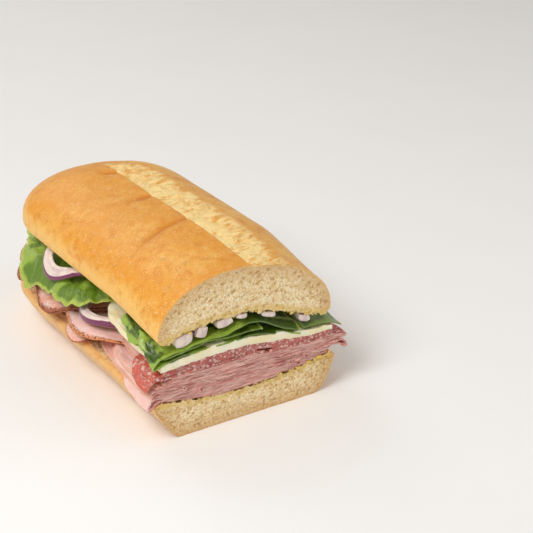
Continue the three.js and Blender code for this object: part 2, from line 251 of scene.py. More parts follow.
class Skin:
    """Grids of points that are joined into one closed surface of triangles, with marks on the
    points for the materials to read."""

    def __init__(self):
        self.points, self.faces, self.marks, self.count = [], [], [], 0

    def grid(self, x, y, z, flip=False, **marks):
        """Adds arrays of one shape as a grid, each square as two triangles."""
        x, y, z = np.broadcast_arrays(x, y, z)
        n, m = x.shape
        index = np.arange(n * m).reshape(n, m) + self.count
        a, b, c, d = index[:-1, :-1], index[1:, :-1], index[1:, 1:], index[:-1, 1:]
        corners = ((a, c, b), (a, d, c)) if flip else ((a, b, c), (a, c, d))
        self.faces += [np.stack(three, -1).reshape(-1, 3) for three in corners]
        self.points.append(np.stack([x, y, z], -1).reshape(-1, 3))
        self.marks.append({k: np.broadcast_to(v, x.shape).ravel() for k, v in marks.items()})
        self.count += n * m

    def block(self, rule, us, vs, ws):
        """The six faces of a bent block, welded: rule(u, v, w) gives places and marks."""
        for fixed, at, flip in ((2, 1, False), (2, 0, True), (0, 1, False), (0, 0, True),
                                (1, 1, True), (1, 0, False)):
            free = [s for n, s in enumerate((us, vs, ws)) if n != fixed]
            place = list(np.meshgrid(*free, indexing="ij"))
            place.insert(fixed, np.full(place[0].shape, float(at)))
            x, y, z, marks = rule(*place)
            self.grid(x, y, z, flip, **marks)
        return self.weld()

    def ring(self, rule, rs, count, ws):
        """A disk, or a ring if rs starts above 0, welded: rule(r, angle, w) gives places and
        marks."""
        angles = np.linspace(0, 2 * np.pi, count + 1)
        for w, flip in ((1.0, False), (0.0, True)):
            r, a = np.meshgrid(rs, angles, indexing="ij")
            x, y, z, marks = rule(r, a, np.full(r.shape, w))
            self.grid(x, y, z, flip, **marks)
        for r, flip in [(rs[-1], False), (rs[0], True)][:1 + (rs[0] > 0)]:
            a, w = np.meshgrid(angles, ws, indexing="ij")
            x, y, z, marks = rule(np.full(a.shape, r), a, w)
            self.grid(x, y, z, flip, **marks)
        return self.weld()

    def weld(self):
        """Merges equal points, drops empty triangles and turns the surface outwards."""
        points = np.concatenate(self.points)
        keys = np.round(points * 1e4).astype(np.int64) + 2**20
        _, first, back = np.unique((keys[:, 0] << 42) + (keys[:, 1] << 21) + keys[:, 2],
                                   return_index=True, return_inverse=True)
        faces = back.reshape(-1)[np.concatenate(self.faces)]
        full = (faces != np.roll(faces, 1, axis=1)).all(axis=1)
        names = {name for marks in self.marks for name in marks}
        whole = {name: np.concatenate([m.get(name, np.zeros(len(p)))
                                       for m, p in zip(self.marks, self.points)])[first]
                 for name in names}
        points, faces = points[first], faces[full]
        a, b, c = (points[faces[:, k]] for k in range(3))
        if np.einsum("ij,ij->", a, np.cross(b, c)) < 0:
            faces = faces[:, ::-1]
        return points, faces, whole


def normals(points, faces):
    """Unit normals of the points: the sum of their triangles' cross products."""
    a, b, c = (points[faces[:, k]] for k in range(3))
    cross = np.cross(b - a, c - a)
    total = np.stack([
        sum(np.bincount(faces[:, k], cross[:, axis], len(points)) for k in range(3))
        for axis in range(3)], -1)
    return total / np.maximum(np.linalg.norm(total, axis=1, keepdims=True), 1e-12)


def piece(name, nodes, skins, material):
    """Puts welded surfaces in one object, in frame coordinates and metres: x drifts sideways by
    the cut's bias."""
    points = np.concatenate([s[0] for s in skins])
    starts = np.cumsum([0] + [len(s[0]) for s in skins])
    faces = np.concatenate([s[1] + start for s, start in zip(skins, starts)])
    marks = {key: np.concatenate([s[2].get(key, np.zeros(len(s[0]))) for s in skins])
             for key in sorted({key for s in skins for key in s[2]})}
    points = points * MM
    points[:, 0] -= BIAS * points[:, 1]
    mesh = bpy.data.meshes.new(name)
    mesh.vertices.add(len(points))
    mesh.vertices.foreach_set("co", points.astype(np.float32).ravel())
    mesh.loops.add(faces.size)
    mesh.loops.foreach_set("vertex_index", faces.astype(np.int32).ravel())
    mesh.polygons.add(len(faces))
    mesh.polygons.foreach_set("loop_start", np.arange(0, faces.size, 3, dtype=np.int32))
    mesh.update(calc_edges=True)
    mesh.validate()
    for key, values in marks.items():
        store = mesh.attributes.new(key, "FLOAT", "POINT")
        store.data.foreach_set("value", values.astype(np.float32))
    mesh.polygons.foreach_set("use_smooth", np.ones(len(mesh.polygons), bool))
    mesh.set_sharp_from_angle(angle=math.radians(SHARP_EDGE))
    mesh.materials.append(material)
    made = bpy.data.objects.new(name, mesh)
    bpy.context.scene.collection.objects.link(made)
    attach(made, BODY)
    if nodes:
        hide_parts(*nodes)


# Materials

class Value:
    """A shader socket. Sums with it add Math nodes to its board."""

    def __init__(self, board, socket):
        self.board, self.socket = board, socket

    def math(self, operation, *others):
        return self.board.node("ShaderNodeMath", {"operation": operation},
                               dict(enumerate((self, *others))))

    def __add__(self, other):
        return self.math("ADD", other)

    def __mul__(self, other):
        return self.math("MULTIPLY", other)

    def __sub__(self, other):
        return self.math("SUBTRACT", other)

    def __rsub__(self, other):
        return self * -1 + other

    __radd__, __rmul__ = __add__, __mul__

    def step(self, low, high):
        """Smooth step from 0 where the value is low to 1 where it is high."""
        return self.board.node("ShaderNodeMapRange", {"interpolation_type": "SMOOTHSTEP"}, {
            "Value": self, "From Min": low, "From Max": high})

    def line(self, half):
        """1 where the value is a half, down to 0 at the given distance from it."""
        return self.step(0.5 - half, 0.5) * self.step(0.5 + half, 0.5)

    def sway(self, strength):
        """The value's distance from a half, times a strength."""
        return (self - 0.5) * strength


class Board:
    """The nodes of one material."""

    def __init__(self, name):
        self.material = bpy.data.materials.new(name)
        self.material.use_nodes = True
        self.tree = self.material.node_tree
        self.tree.nodes.clear()
        self.plain = self.place()

    def node(self, kind, settings=None, inputs=None, output=0):
        """Adds a node: its settings first, then values or links into its sockets."""
        made = self.tree.nodes.new(kind)
        for key, value in (settings or {}).items():
            setattr(made, key, value)
        for key, value in (inputs or {}).items():
            if isinstance(value, Value):
                self.tree.links.new(value.socket, made.inputs[key])
            else:
                made.inputs[key].default_value = value
        return Value(self, made.outputs[output])

    def place(self, stretch=(1, 1, 1), turn=0, tip=0):
        """Object coordinates in millimetres, turned about the vertical, tipped about the roll's
        length and stretched."""
        spot = self.node("ShaderNodeTexCoord", output="Object")
        return self.node("ShaderNodeMapping", {"vector_type": "TEXTURE"}, {
            "Vector": spot, "Rotation": (0, tip, turn),
            "Scale": tuple(MM / s for s in stretch)})

    def marks(self, names):
        """The marks that a skin carries, by their names with spaces between them."""
        return [self.node("ShaderNodeAttribute", {"attribute_name": name}, output="Fac")
                for name in names.split()]

    def noise(self, size, detail=3, roughness=0.55, distortion=0, place=None):
        """Noise of a feature size in millimetres, 0 to 1."""
        return self.node("ShaderNodeTexNoise", {}, {
            "Vector": place or self.plain, "Scale": 1 / size, "Detail": detail,
            "Roughness": roughness, "Distortion": distortion})

    def cells(self, size, place=None):
        """Distance to the nearest of scattered points, in cell sizes."""
        return self.node("ShaderNodeTexVoronoi", {}, {
            "Vector": place or self.plain, "Scale": 1 / size}, "Distance")

    def layers(self, colour, *coats):
        """A colour under others, each mixed in by its own factor, the lowest first."""
        for factor, over in coats:
            below, above = (c if isinstance(c, Value) else (*c, 1) for c in (colour, over))
            colour = self.node("ShaderNodeMix", {"data_type": "RGBA"},
                               {0: factor, 6: below, 7: above}, 2)
        return colour

    def bump(self, height, depth, strength):
        """Relief: a height from 0 to 1 times a depth in millimetres."""
        return self.node("ShaderNodeBump", {}, {
            "Height": height, "Distance": depth * MM, "Strength": strength})

    def finish(self, colour, roughness, normal, soft=(0, (1, 1, 1)), coat=(0, 0)):
        """The surface shader: soft is how much light goes in, and how far in millimetres for
        red, green and blue; coat is the weight and roughness of a wet film."""
        surface = self.node("ShaderNodeBsdfPrincipled", {}, {
            "Base Color": colour, "Roughness": roughness, "Normal": normal,
            "Subsurface Weight": soft[0], "Subsurface Radius": soft[1], "Subsurface Scale": MM,
            "Coat Weight": coat[0], "Coat Roughness": coat[1]})
        end = self.tree.nodes.new("ShaderNodeOutputMaterial")
        self.tree.links.new(surface.socket, end.inputs["Surface"])
        return self.material


def bread_material(name, look, browned, pale_crust, edge_line):
    """Golden crust with fine pale flecks, a pale torn strip, and an open cream crumb that the
    marks crumb, rind (distance from the crust) and stain (closeness to the sauce) describe. The
    crumb carries painted light: painted shade in its pores, painted highlight on its walls, and
    painted shade towards the crust, where it is also toasted."""
    board = Board(name)
    crumb, rind, stain, bake, strip, pore, crease = board.marks(
        "crumb rind stain bake strip pore crease")
    blotch = board.noise(22)
    mottle = board.noise(4.5, 6, 0.72, 0.5)
    fleck = board.noise(0.6, 3, 0.65)
    flakes = board.noise(6.5, 5, 0.66, 1.2, board.place((0.6, 1.3, 1), 0.3))
    fibres = board.noise(0.9, 3, 0.6, 0.8, board.place((0.5, 1.8, 1), 0.2))

    scaly = flakes + fibres.sway(0.35) + (1 - strip) * 0.16
    burnt = board.cells(3.2, board.place((1, 0.6, 1), 0.4)).step(0.2, 0.08)
    torn = board.layers(look.strip, (scaly.step(0.46, 0.7), look.strip_gold),
                        (burnt * strip.step(0.8, 0.45), look.crust_dark))
    flecks = fleck.step(0.54, 0.66) * board.noise(4, 2).step(0.36, 0.6)
    wavy = board.noise(1.6, 2, 0.5, 1.2, board.place((1.5, 0.5, 1), 0.6))
    wrinkles = wavy.line(0.04) * board.noise(3.5, 2).step(0.52, 0.66)
    crust = board.layers(
        browned,
        ((bake + blotch.sway(1.7) + mottle.sway(1.7)).step(1.1, 0.2), pale_crust),
        (mottle.step(0.5, 0.66) * 0.4, look.crust_dark),
        (flecks * 0.8 + wrinkles * 0.45, look.fleck),
        (crease * 0.85, look.crust_dark),
        ((strip + flakes.sway(0.7)).step(0.1, 0.4), torn))

    bent = board.noise(0.7, 3, 0.7)
    # Painted shade in the crumb's pores: scattered holes and the pits' mark pore are painted
    # darker.
    large = board.cells(3.0, board.place((0.7, 1, 1.3), 0, 0.7)) + bent.sway(0.3)
    small = board.cells(1.25, board.place((0.6, 1, 1.4), 0, 0.7)) + bent.sway(0.3)
    tiny = (board.cells(0.55) + bent.sway(0.3)).step(0.4, 0.14)
    holes = large.step(0.24, 0.1) * 0.6 + small.step(0.38, 0.16) * 0.4
    hollow = (pore * 0.8).math("MAXIMUM", holes).math("MAXIMUM", tiny * 0.25)
    inner = board.layers(
        look.crumb,
        # Painted highlight: paler patches stand for the lit walls of the crumb.
        (bent.step(0.4, 0.6), look.crumb_wall_highlight),
        # Painted shade in the pores.
        (hollow, look.crumb_pore_shade),
        # Darker and warmer near the crust: partly toasted, partly painted shade.
        (rind.step(DEEP_IN_CRUMB, 0) * 0.55, look.crumb_toast_and_shade),
        ((stain + board.noise(2.4, 4, 0.65).sway(2.2)).step(0.4, 1) * 0.55, look.sauce),
        ((rind + mottle.sway(1.4)).step(1.2, 0) * 0.65,
         board.layers(edge_line, (fleck.step(0.42, 0.62), look.crust_pale))))

    outer = fleck * 0.25 + mottle * 0.45 - wrinkles * 0.2 + (flakes + fibres * 0.4) * strip * 1.8
    relief = (1 - hollow) * crumb * 0.7 + (1 - crumb) * outer
    roughness = 0.45 + crumb * 0.45 + strip * 0.15 - blotch * 0.1
    return board.finish(board.layers(crust, (crumb, inner)), roughness,
                        board.bump(relief, 0.45, 0.9), soft=(0.12, (2.4, 1.32, 0.6)))


def ham_material(name, look, face, rim_colour, speckled):
    """Pink meat: fine streaks along the slice at the cut with painted highlight on them, thin
    seams of painted shade between the slices there, faint marbling on its faces, and a browned
    rim that may have dark speckles of spice."""
    board = Board(name)
    cut, rim, tone = board.marks("cut rim tone")
    marble = board.noise(5, 4, 0.6, 0.6)
    fine = board.noise(0.8, 3, 0.6)
    streak = board.noise(1, 4, 0.6, 0.5, board.place((0.2, 0.6, 2.2)))
    # Painted shade: thin dark seams at the cut stand for the slits between the slices.
    shaded_seam = board.noise(1.1, 2, 0.5, 0.3, board.place((0.1, 0.4, 2))).line(0.03)
    # Painted highlight on the streaks at the cut.
    sliced = board.layers(look.ham_cut, (streak.step(0.36, 0.62), look.ham_cut_highlight),
                          (fine.step(0.6, 0.75) * 0.35, look.fat), (shaded_seam * 0.34, look.ham_seam_shade))
    browned = (rim + marble.sway(0.5)).step(0.62, 1.05)
    pepper = board.noise(0.9, 3, 0.7).step(0.5, 0.6) * rim.step(0.5, 0.9) * speckled
    colour = board.layers(face, (marble.step(0.35, 0.7), look.ham_pale), (cut, sliced),
                          (tone * 0.25, look.ham_deep), (browned, rim_colour),
                          (pepper, look.pepper))
    relief = (streak - shaded_seam * 0.6) * cut + (1 - cut) * (marble * 0.8 + fine * 0.25)
    return board.finish(colour, 0.32 + fine * 0.2 + browned * 0.15,
                        board.bump(relief, 0.35, 0.9),
                        soft=(0.2, (1.5, 0.5, 0.4)), coat=(0.12, 0.3))


def salami_material(look):
    """Red meat packed with rounded pale fat, with an orange-brown skin."""
    board = Board("marbled_salami")
    rim, cut = board.marks("rim cut")
    bent = board.noise(1.6, 3, 0.6, 0.8)
    sliced = (board.cells(1.7) + bent.sway(0.9)).step(0.48, 0.26)
    pieces = (board.cells(2.3) + bent.sway(0.8)).step(0.5, 0.3)
    grains = (board.cells(0.75) + bent.sway(0.6)).step(0.55, 0.25)
    clusters = board.noise(4.5, 3, 0.6, 0.5).step(0.42, 0.6)
    fat = ((sliced * cut + pieces * (1 - cut)) * 0.85).math("MAXIMUM", grains * clusters)
    colour = board.layers(
        look.salami, (board.noise(3.5).step(0.35, 0.7), look.salami_dark),
        ((1 - cut) * 0.6, look.salami_face), (fat * 0.85, look.salami_fat),
        ((rim + bent.sway(0.3)).step(0.72, 0.95) * 0.8, look.salami_skin))
    return board.finish(colour, 0.42 - fat * 0.12, board.bump(fat * 0.8 + bent * 0.8, 0.5, 1),
                        soft=(0.15, (1.2, 0.4, 0.32)), coat=(0.15, 0.25))


def cheese_material(look):
    """Ivory cheese, faintly uneven, a little yellower at its dried edges."""
    board = Board("ivory_cheese")
    rim, = board.marks("rim")
    cloud = board.noise(9)
    fine = board.noise(0.9, 3, 0.6)
    colour = board.layers(look.cheese, (cloud.step(0.3, 0.7), look.cheese_light),
                          (rim.step(0.6, 1) * 0.4, look.cheese_edge))
    return board.finish(colour, 0.38 + fine * 0.12, board.bump(cloud * 0.6 + fine * 0.15, 0.4, 0.7),
                        soft=(0.35, (2.4, 1.8, 0.9)))


def lettuce_material(name, look, body):
    """Green leaf with pale veins and a pale yellow-green rim, waxy; paler in random patches, with
    painted highlight on its blisters' ridges and painted shade in their hollows.
    """
    board = Board(name)
    rim, vein, cut, lift = board.marks("rim vein cut lift")
    cloud = board.noise(5, 4, 0.65)
    blister = board.noise(1.3) * 0.6 + board.noise(3.2, 2) * 0.9
    colour = board.layers(
        # Painted light: lighter where the mark lift is high, a painted highlight on the ridges and
        # painted shade in the hollows, and paler in random patches.
        body, ((lift * 1.1 + cloud.sway(1.3)).step(-0.25, 0.4), look.leaf_pale_and_lit_ridge),
        (vein * 0.5, look.leaf_vein),
        ((rim + cloud.sway(0.3)).step(0.7, 0.98) * 0.8, look.leaf_rim),
        (cut * 0.5, look.leaf_cut))
    return board.finish(colour, 0.26 + cloud * 0.2, board.bump(blister + vein * 0.5, 0.9, 1),
                        soft=(0.15, (0.5, 1.5, 0.25)), coat=(0.35, 0.15))


def onion_material(look):
    """White onion flesh with lilac lines that follow its layers, purple on its skin side."""
    board = Board("red_onion")
    skin, layer = board.marks("skin layer")
    fine = board.noise(1.2, 3, 0.6)
    lilac = (board.noise(4, 2) + layer * 0.25).step(0.4, 0.75)
    colour = board.layers(look.onion, (lilac * 0.6, look.onion_lilac),
                          ((skin + fine.sway(0.25)).step(0.45, 0.75), look.onion_skin))
    return board.finish(colour, 0.22 + fine * 0.15, board.bump(layer * 0.6 + fine * 0.3, 0.25, 0.7),
                        soft=(0.4, (1.8, 1.2, 1.2)), coat=(0.25, 0.15))


def plain_material(name, colour, second, size, rough, coat):
    """Small pieces: two colours clouded together, with a fine relief."""
    board = Board(name)
    cloud = board.noise(size, 3, 0.6)
    return board.finish(board.layers(colour, (cloud.step(0.35, 0.7), second)),
                        rough + cloud * 0.1, board.bump(cloud, 0.2, 0.8),
                        soft=(0.1, (50, 10, 5)), coat=(coat, 0.2))


# The two roll halves

def roll_skin(half_width, reach, outs, upper, lower, rows):
    """An upper and a lower surface over a plan with one round end, swept from its right side at
    the cut, round the end, to its left side, and a cap of rows at the cut. The plan's outline is
    a power of cosine and sine. The mark side is 1 on top, 0 below and 2 on the cut."""
    side_steps, arc_steps = 150, 90
    along = np.linspace(CUT_Y, ARC_Y, side_steps + 1)
    spine = np.concatenate([along[:-1], np.full(arc_steps + 1, ARC_Y), along[::-1][1:]])
    angle = np.concatenate([np.zeros(side_steps), np.linspace(0, np.pi, arc_steps + 1),
                            np.full(side_steps, np.pi)])
    turn, out = np.meshgrid(angle, outs, indexing="ij")
    x = half_width * out * power(np.cos(turn), 2 / END_POWER)
    y = spine[:, None] + reach * out * power(np.sin(turn), 2 / END_POWER)
    skin = Skin()
    skin.grid(x, y, upper(x, y, out), side=1.0, out=out)
    skin.grid(x, y, lower(x, y, out), flip=True, side=0.0, out=out)
    across = np.concatenate([-outs[::-1], outs[1:]])
    column, row = np.meshgrid(across, steps(rows), indexing="ij")
    x, y, out = half_width * column, np.full(column.shape, float(CUT_Y)), np.abs(column)
    z = mix(lower(x, y, out), upper(x, y, out), row)
    skin.grid(x, y, z, flip=True, side=2.0, out=out)
    return skin.weld()


def rolled_over(out, lip):
    """1 inside the lip, then down to 0 at the rim by a quarter circle."""
    over = np.maximum(0, (out - lip) / (1 - lip))
    return np.sqrt(np.maximum(0, 1 - over**2))


def base_upper(x, y, out):
    """The bottom roll's crumb, rolling over to its rim beyond the lip."""
    return mix(BASE_RIM_HEIGHT, bed(x, y), rolled_over(out, BASE_LIP))


def base_lower(x, y, out):
    """The bottom crust: flat in the middle, then rising to the rim by a power."""
    steepness = 1.72 + 0.28 * np.clip(x / 20, -1, 1)
    return BASE_RIM_HEIGHT * np.maximum(0, (out - BASE_FLAT) / (1 - BASE_FLAT)) ** steepness


def strip_mask(x, y, sharp=1.2, soft=(4, STRIP_WIDTH), last=8, slant=0):
    """1 on the torn strip along the crown: sharp on its left, soft on its right, and fading over
    its last part, along a slant."""
    run = x - STRIP_START
    across = smooth(0, sharp, run) * (1 - smooth(*soft, run))
    return across * (1 - smooth(STRIP_END - last, STRIP_END, y + slant * run))


def crease_mask(x, y):
    """The short creases that run left out of the strip: bell curves across slanted lines."""
    total = 0
    for start, reach, sweep in CREASES:
        run = STRIP_START - x
        bow = sweep * run * (0.5 + 0.5 * np.clip(run / reach, 0, 1))
        off = (y - start + bow) / CREASE_WIDTH
        along = smooth(-2, 0, run) * (1 - smooth(0.4 * reach, reach, run))
        total = total + along * (0.55 * np.exp(-off**2) + 0.45 * np.exp(-((off / 0.3) ** 2)))
    return total


def top_upper(x, y, out):
    """The domed crust: a power circle over the lip, less the strip's and creases' depth."""
    roundness = mix(2, 2.3, behind_cut(y))
    rise = mix(TOP_RISE_AT_CUT, TOP_RISE_INSIDE, behind_cut(y)) - TOP_LIP
    dome = (1 - np.minimum(1, out) ** roundness) ** (1 / roundness)
    relief = STRIP_STEP * strip_mask(x, y) + CREASE_DEPTH * crease_mask(x, y)
    return top_edge(x, y) + TOP_LIP + rise * dome - relief * smooth(1, 0.8, out)


def top_lower(x, y, out):
    """The crumb under the top roll, rolling over to the rim beyond the lip."""
    return mix(top_edge(x, y) + TOP_LIP, top_hollow(x, y), rolled_over(out, TOP_LIP_INSIDE))


def from_line(x, z, line_x, line_z):
    """Distance of each place from a line of points."""
    return np.sqrt(((x[:, None] - line_x) ** 2 + (z[:, None] - line_z) ** 2).min(axis=1))


def crumb_pits(seed, count, low, high, sizes, lean):
    """Scattered pits: middles, radii from small to large, slimness, turn and depth."""
    draw = np.random.default_rng(seed)
    centres = draw.uniform(low, high, (count, 2))
    radii = mix(*sizes, draw.random(count) ** 3)
    slim = draw.uniform(0.4, 0.85, count)
    turn = lean + draw.normal(0, 0.5, count)
    return centres, radii, slim, turn, PIT_DEPTH * radii


def dress_roll(skin, crumb_side, crust_side, seed, sizes):
    """Adds the crumb's pits and ragged edge and the crust's undulation, and marks the crumb:
    crumb, rind, stain and pore. The crust keeps the marks bake, strip and crease it carries."""
    points, faces, marks = skin
    x, y, z = points.T
    side, out = marks["side"], marks["out"]
    at_cut = side > 1.5
    edge = np.abs(y - CUT_Y) < 1e-3
    open_side = (side == crumb_side) & (out < 0.95)
    rind = np.full(len(x), float(DEEP_IN_CRUMB))
    stain = np.where(open_side, 0.9 * (1 - smooth(4, 14, y - CUT_Y)), 0.0)
    crust_line = edge & ~at_cut & ((side == crust_side) | (out > 0.95))
    crumb_line = edge & open_side
    rind[at_cut] = from_line(x[at_cut], z[at_cut], x[crust_line], z[crust_line])
    gap = from_line(x[at_cut], z[at_cut], x[crumb_line], z[crumb_line])
    stain[at_cut] = 1 - smooth(sizes.stain_depth * 0.3, sizes.stain_depth, gap)
    rind[open_side] = (1 - out[open_side]) * 40

    crumb = np.where(at_cut | open_side, 1.0, 0.0)
    low, high = (-45, z.min()), (45, z.max())
    cut_pits = crumb_pits(seed, CUT_PITS, low, high, CUT_PIT_RADII, sizes.pore_lean)
    low, high = (-45, CUT_Y), (45, CUT_Y + LENGTH + 1)
    open_pits = crumb_pits(seed + 1, OPEN_PITS, low, high, OPEN_PIT_RADII, 0.3)
    pit = np.where(edge, pits(x, z, *cut_pits), 0.0)
    pit = pit * np.where(at_cut, smooth(0.5, 1.6, rind), smooth(0.0, 0.3, crumb))
    below = np.where(open_side, pits(x, y, *open_pits), 0.0)
    bumpy = grain(x, y, z, 3.0, seed + 2, 3)
    rough = grain(x, y, z, 1.1, seed + 3, 2)

    lean = normals(points, faces)
    inside = np.where(edge, 1.0, 1 - 0.8 * smooth(0.78, 0.92, out))
    ragged = open_side * (LUMPS * bumpy + LUMP_ROUGHNESS * rough - 0.5 * below) * inside
    smooth_side = ~at_cut & ~open_side
    swell = smooth_side * SWELL * grain(x, y, z, 17, seed + 4, 2)
    band = marks.get("strip", np.zeros(len(x)))
    flakes = grain(0.45 * x + 0.15 * y, 1.3 * y + 1.2 * rough, z, 4.2, seed + 5, 4)
    swell = swell + smooth_side * CRUST_ROUGHNESS * rough + band * (0.4 - 2 * np.abs(flakes))
    push = (ragged + swell) * np.where(edge, 0.9, 1.0)
    points = points + lean * push[:, None]
    points[:, 2] = np.maximum(points[:, 2], 0)
    uneven = CUT_UNEVENNESS * bumpy * (rind > 0.5)
    points[:, 1] = np.where(edge, CUT_Y + uneven + pit, points[:, 1])
    # The mark pore is the pits' depth, by which the crumb's material paints shade in them.
    marks.update(crumb=crumb, rind=rind, stain=stain, pore=smooth(0.1, 0.55, pit + 0.5 * below))
    del marks["side"], marks["out"]
    return points, faces, marks


class SANDWICH_OT_bread(bpy.types.Operator):
    """Builds the two halves of the roll with crust and crumb"""

    bl_idname = "sandwich.bread"
    bl_label = "Roll halves"

    def execute(self, context):
        look, sizes = context.scene.sandwich_look, context.scene.sandwich_sizes
        domed = bread_material(
            "crust_and_crumb", look, look.crust, look.crust_pale, look.crust_edge)
        flat = bread_material(
            "bottom_crust_and_crumb", look, look.base, look.base_pale, look.base_edge)
        outs = 1 - (1 - steps(96)) ** 1.15

        top = roll_skin(TOP_HALF_WIDTH, TOP_REACH, outs, top_upper, top_lower, 56)
        x, y, z = top[0].T
        crust = top[2]["side"] > 0.5
        edge_height = top_edge(x, y)
        top[2]["strip"] = crust * strip_mask(x, y, 1, (7, STRIP_WIDTH + 6), 14, 0.9)
        top[2]["crease"] = crust * crease_mask(x, y)
        right = smooth(STRIP_START, STRIP_START + STRIP_WIDTH + 6, x)
        top[2]["bake"] = smooth(edge_height + 1, edge_height + 16, z) - 0.3 * right
        top = dress_roll(top, 0.0, 1.0, 21, sizes)
        piece("top_roll", ["roll_top"], [top], domed)

        base = roll_skin(BASE_HALF_WIDTH, BASE_REACH, outs, base_upper, base_lower, 40)
        z = base[0][:, 2]
        base[2]["bake"] = 0.35 + 0.6 * (1 - smooth(0, 3, z)) - 0.1 * smooth(8, 15, z)
        base = dress_roll(base, 1.0, 0.0, 31, sizes)
        piece("bottom_roll", ["roll_bottom"], [base], flat)
        return {"FINISHED"}


# The filling

def stacked(shares, count):
    """Splits a range of shares into equal layers."""
    low, high = shares
    each = (high - low) / count
    return [(low + n * each, low + (n + 1) * each) for n in range(count)]


def thinned(layer, w, air, gaps, full=1.0):
    """Share at w of a layer that gives up a part of its depth where a field of gaps opens."""
    low, high = layer
    return low + (high - low) * (0.5 + (w - 0.5) * (full - air * smooth(0.14, 0.4, gaps)))


def wandering(x, y, z):
    """How far a filling's layers wander up and down: one field for all of them, so that they
    undulate together and never cross."""
    return grain(x, 0.5 * y, 0.8 * z, 4, 33, 2)


def narrowing(v, exponent):
    """Width of a slice that reaches the cut: whole there, and less by a power inwards."""
    return (1 - (BLUNT * v) ** exponent) ** (1 / CORNER)


def sliced_face(y):
    """1 on the face that the cut made, fading to 0 within a millimetre."""
    return 1 - smooth(0.2, 0.9, y - CUT_Y)


def cut_edge(x, y, w, seed, back):
    """How far a slice's cut edge is pushed in: a fixed part, noise along the edge and a slight
    rounding across it, fading within a few millimetres of the cut."""
    near = 1 - smooth(0, 2.5, y - CUT_Y)
    uneven = 0.4 * grain(x, seed, 1.5 * w, 3.0, seed + 3, 3)
    return near * (back + uneven + 0.12 * np.abs(2 * w - 1) ** 3)


def cut_slice_skin(layer, left, right, end, corner, seed, air, full):
    """A slice that reaches the cut: its width narrows inwards, its edges are uneven, and it
    thins where gaps open between it and its neighbours."""
    draw = np.random.default_rng(seed)
    back, tone = draw.uniform(-0.2, 0.25), draw.random()

    def rule(u, v, w):
        across = 2 * u - 1
        uneven = 1 + 0.02 * grain(9 * v, across * 3, seed, 1.5, seed, 2)
        x = (left + right) / 2 + across * (right - left) / 2 * narrowing(v, corner) * uneven
        y = mix(CUT_Y, end, v)
        gaps = grain(x, 0.6 * y, seed, 8, seed + 1, 2)
        z = level(thinned(layer, w, air, gaps, full), x, y)
        z = z + wandering(x, y, z) + 0.12 * grain(x, 0.5 * y, w + 3 * seed, 2.6, seed + 2, 2)
        rim = np.maximum(smooth(0.955, 1, np.abs(across)), smooth(0.9, 1, v))
        marks = {"rim": rim, "cut": sliced_face(y), "tone": tone}
        return x, y + cut_edge(x, y, w, seed, back), z, marks

    return Skin().block(rule, both_ends(150), cut_steps(end), steps(4))


def cut_steps(end):
    """Places along a cut slice: close together at the cut, where its edge is rounded."""
    span = end - CUT_Y
    near = np.array([0, 0.12, 0.4, 0.9, 1.7, 2.6, 3.8]) / span
    return np.concatenate([near, near[-1] + (1 - near[-1]) * (1 - (1 - steps(22)[1:]) ** 1.3)])


def cut_slices(count, seed, shares, left, right, end, corner=3, air=0.9, full=1.14):
    """The welded layers of one slice node that reaches the cut."""
    skins = []
    for n, layer in enumerate(stacked(shares, count)):
        draw = np.random.default_rng(seed * 10 + n)
        trim_left, trim_right, trim_end = draw.uniform(0, 1, 3) * (n > 0)
        skins.append(cut_slice_skin(layer, left + 3 * trim_left, right - 3.5 * trim_right,
                                    end - 3 * trim_end, corner, seed * 10 + n, air, full))
    return skins


def folded(u, bend):
    """Along a sheet folded double: the angle round its fold, from -90 to 90 degrees, then shares
    from 0 to 1: how far from the fold, and how far up from the lower to the upper layer."""
    turn = np.clip((u - 0.5) / bend, -1, 1) * np.pi / 2
    flat = np.clip((np.abs(u - 0.5) - bend) / (0.5 - bend), 0, 1)
    return turn, flat, (1 + np.sin(turn)) / 2


def folded_slice_skin(shares, fold, far_low, far_high, end, seed, bulge):
    """A slice folded double at one side: a lower layer, a half round fold that bulges downwards,
    and an upper layer, swept inwards from the cut while it narrows. The layers are thinner in
    the fold."""
    bend, reach, thin, thick = 0.07, 2.0, 0.9, 1.5
    inset = thick / 4 / FILLING_DEPTH
    side = np.sign(fold)
    tone = np.random.default_rng(seed).random()

    def rule(u, v, w):
        turn, flat, up = folded(u, bend)
        y = mix(CUT_Y, end, v)
        width = narrowing(v, 4)
        offset = (w - 0.5) * mix(thin, thick, smooth(0.05, 0.3, flat))
        offset = offset * (1 - 0.5 * smooth(0.95, 1, flat))
        tip = fold * width + 0.8 * grain(y, 0, 0, 7, seed, 2) - side * reach
        x = mix(tip, np.where(u < 0.5, far_low, far_high) * width, flat)
        x = x + side * (reach + offset) * np.cos(turn)
        share = mix(shares[0] + inset, shares[1] - inset, up)
        sag = bulge * smooth(7, 0, np.abs(fold) - np.abs(x)) * (1 - up)
        z = level(share, x, y) + offset * np.sin(turn) - sag
        z = z + wandering(x, y, z) + 0.14 * grain(x, 0.5 * y, 4 * (u > 0.5), 2.6, seed + 2, 2)
        marks = {"rim": smooth(0.96, 1, flat), "cut": sliced_face(y), "tone": tone}
        return x, y + cut_edge(x, y, w, seed, -0.1), z, marks

    half = steps(110) * (0.5 - bend)
    us = np.concatenate([half, 0.5 - bend + 2 * bend * steps(16)[1:], 0.5 + bend + half[1:]])
    return Skin().block(rule, us, cut_steps(end), steps(4))


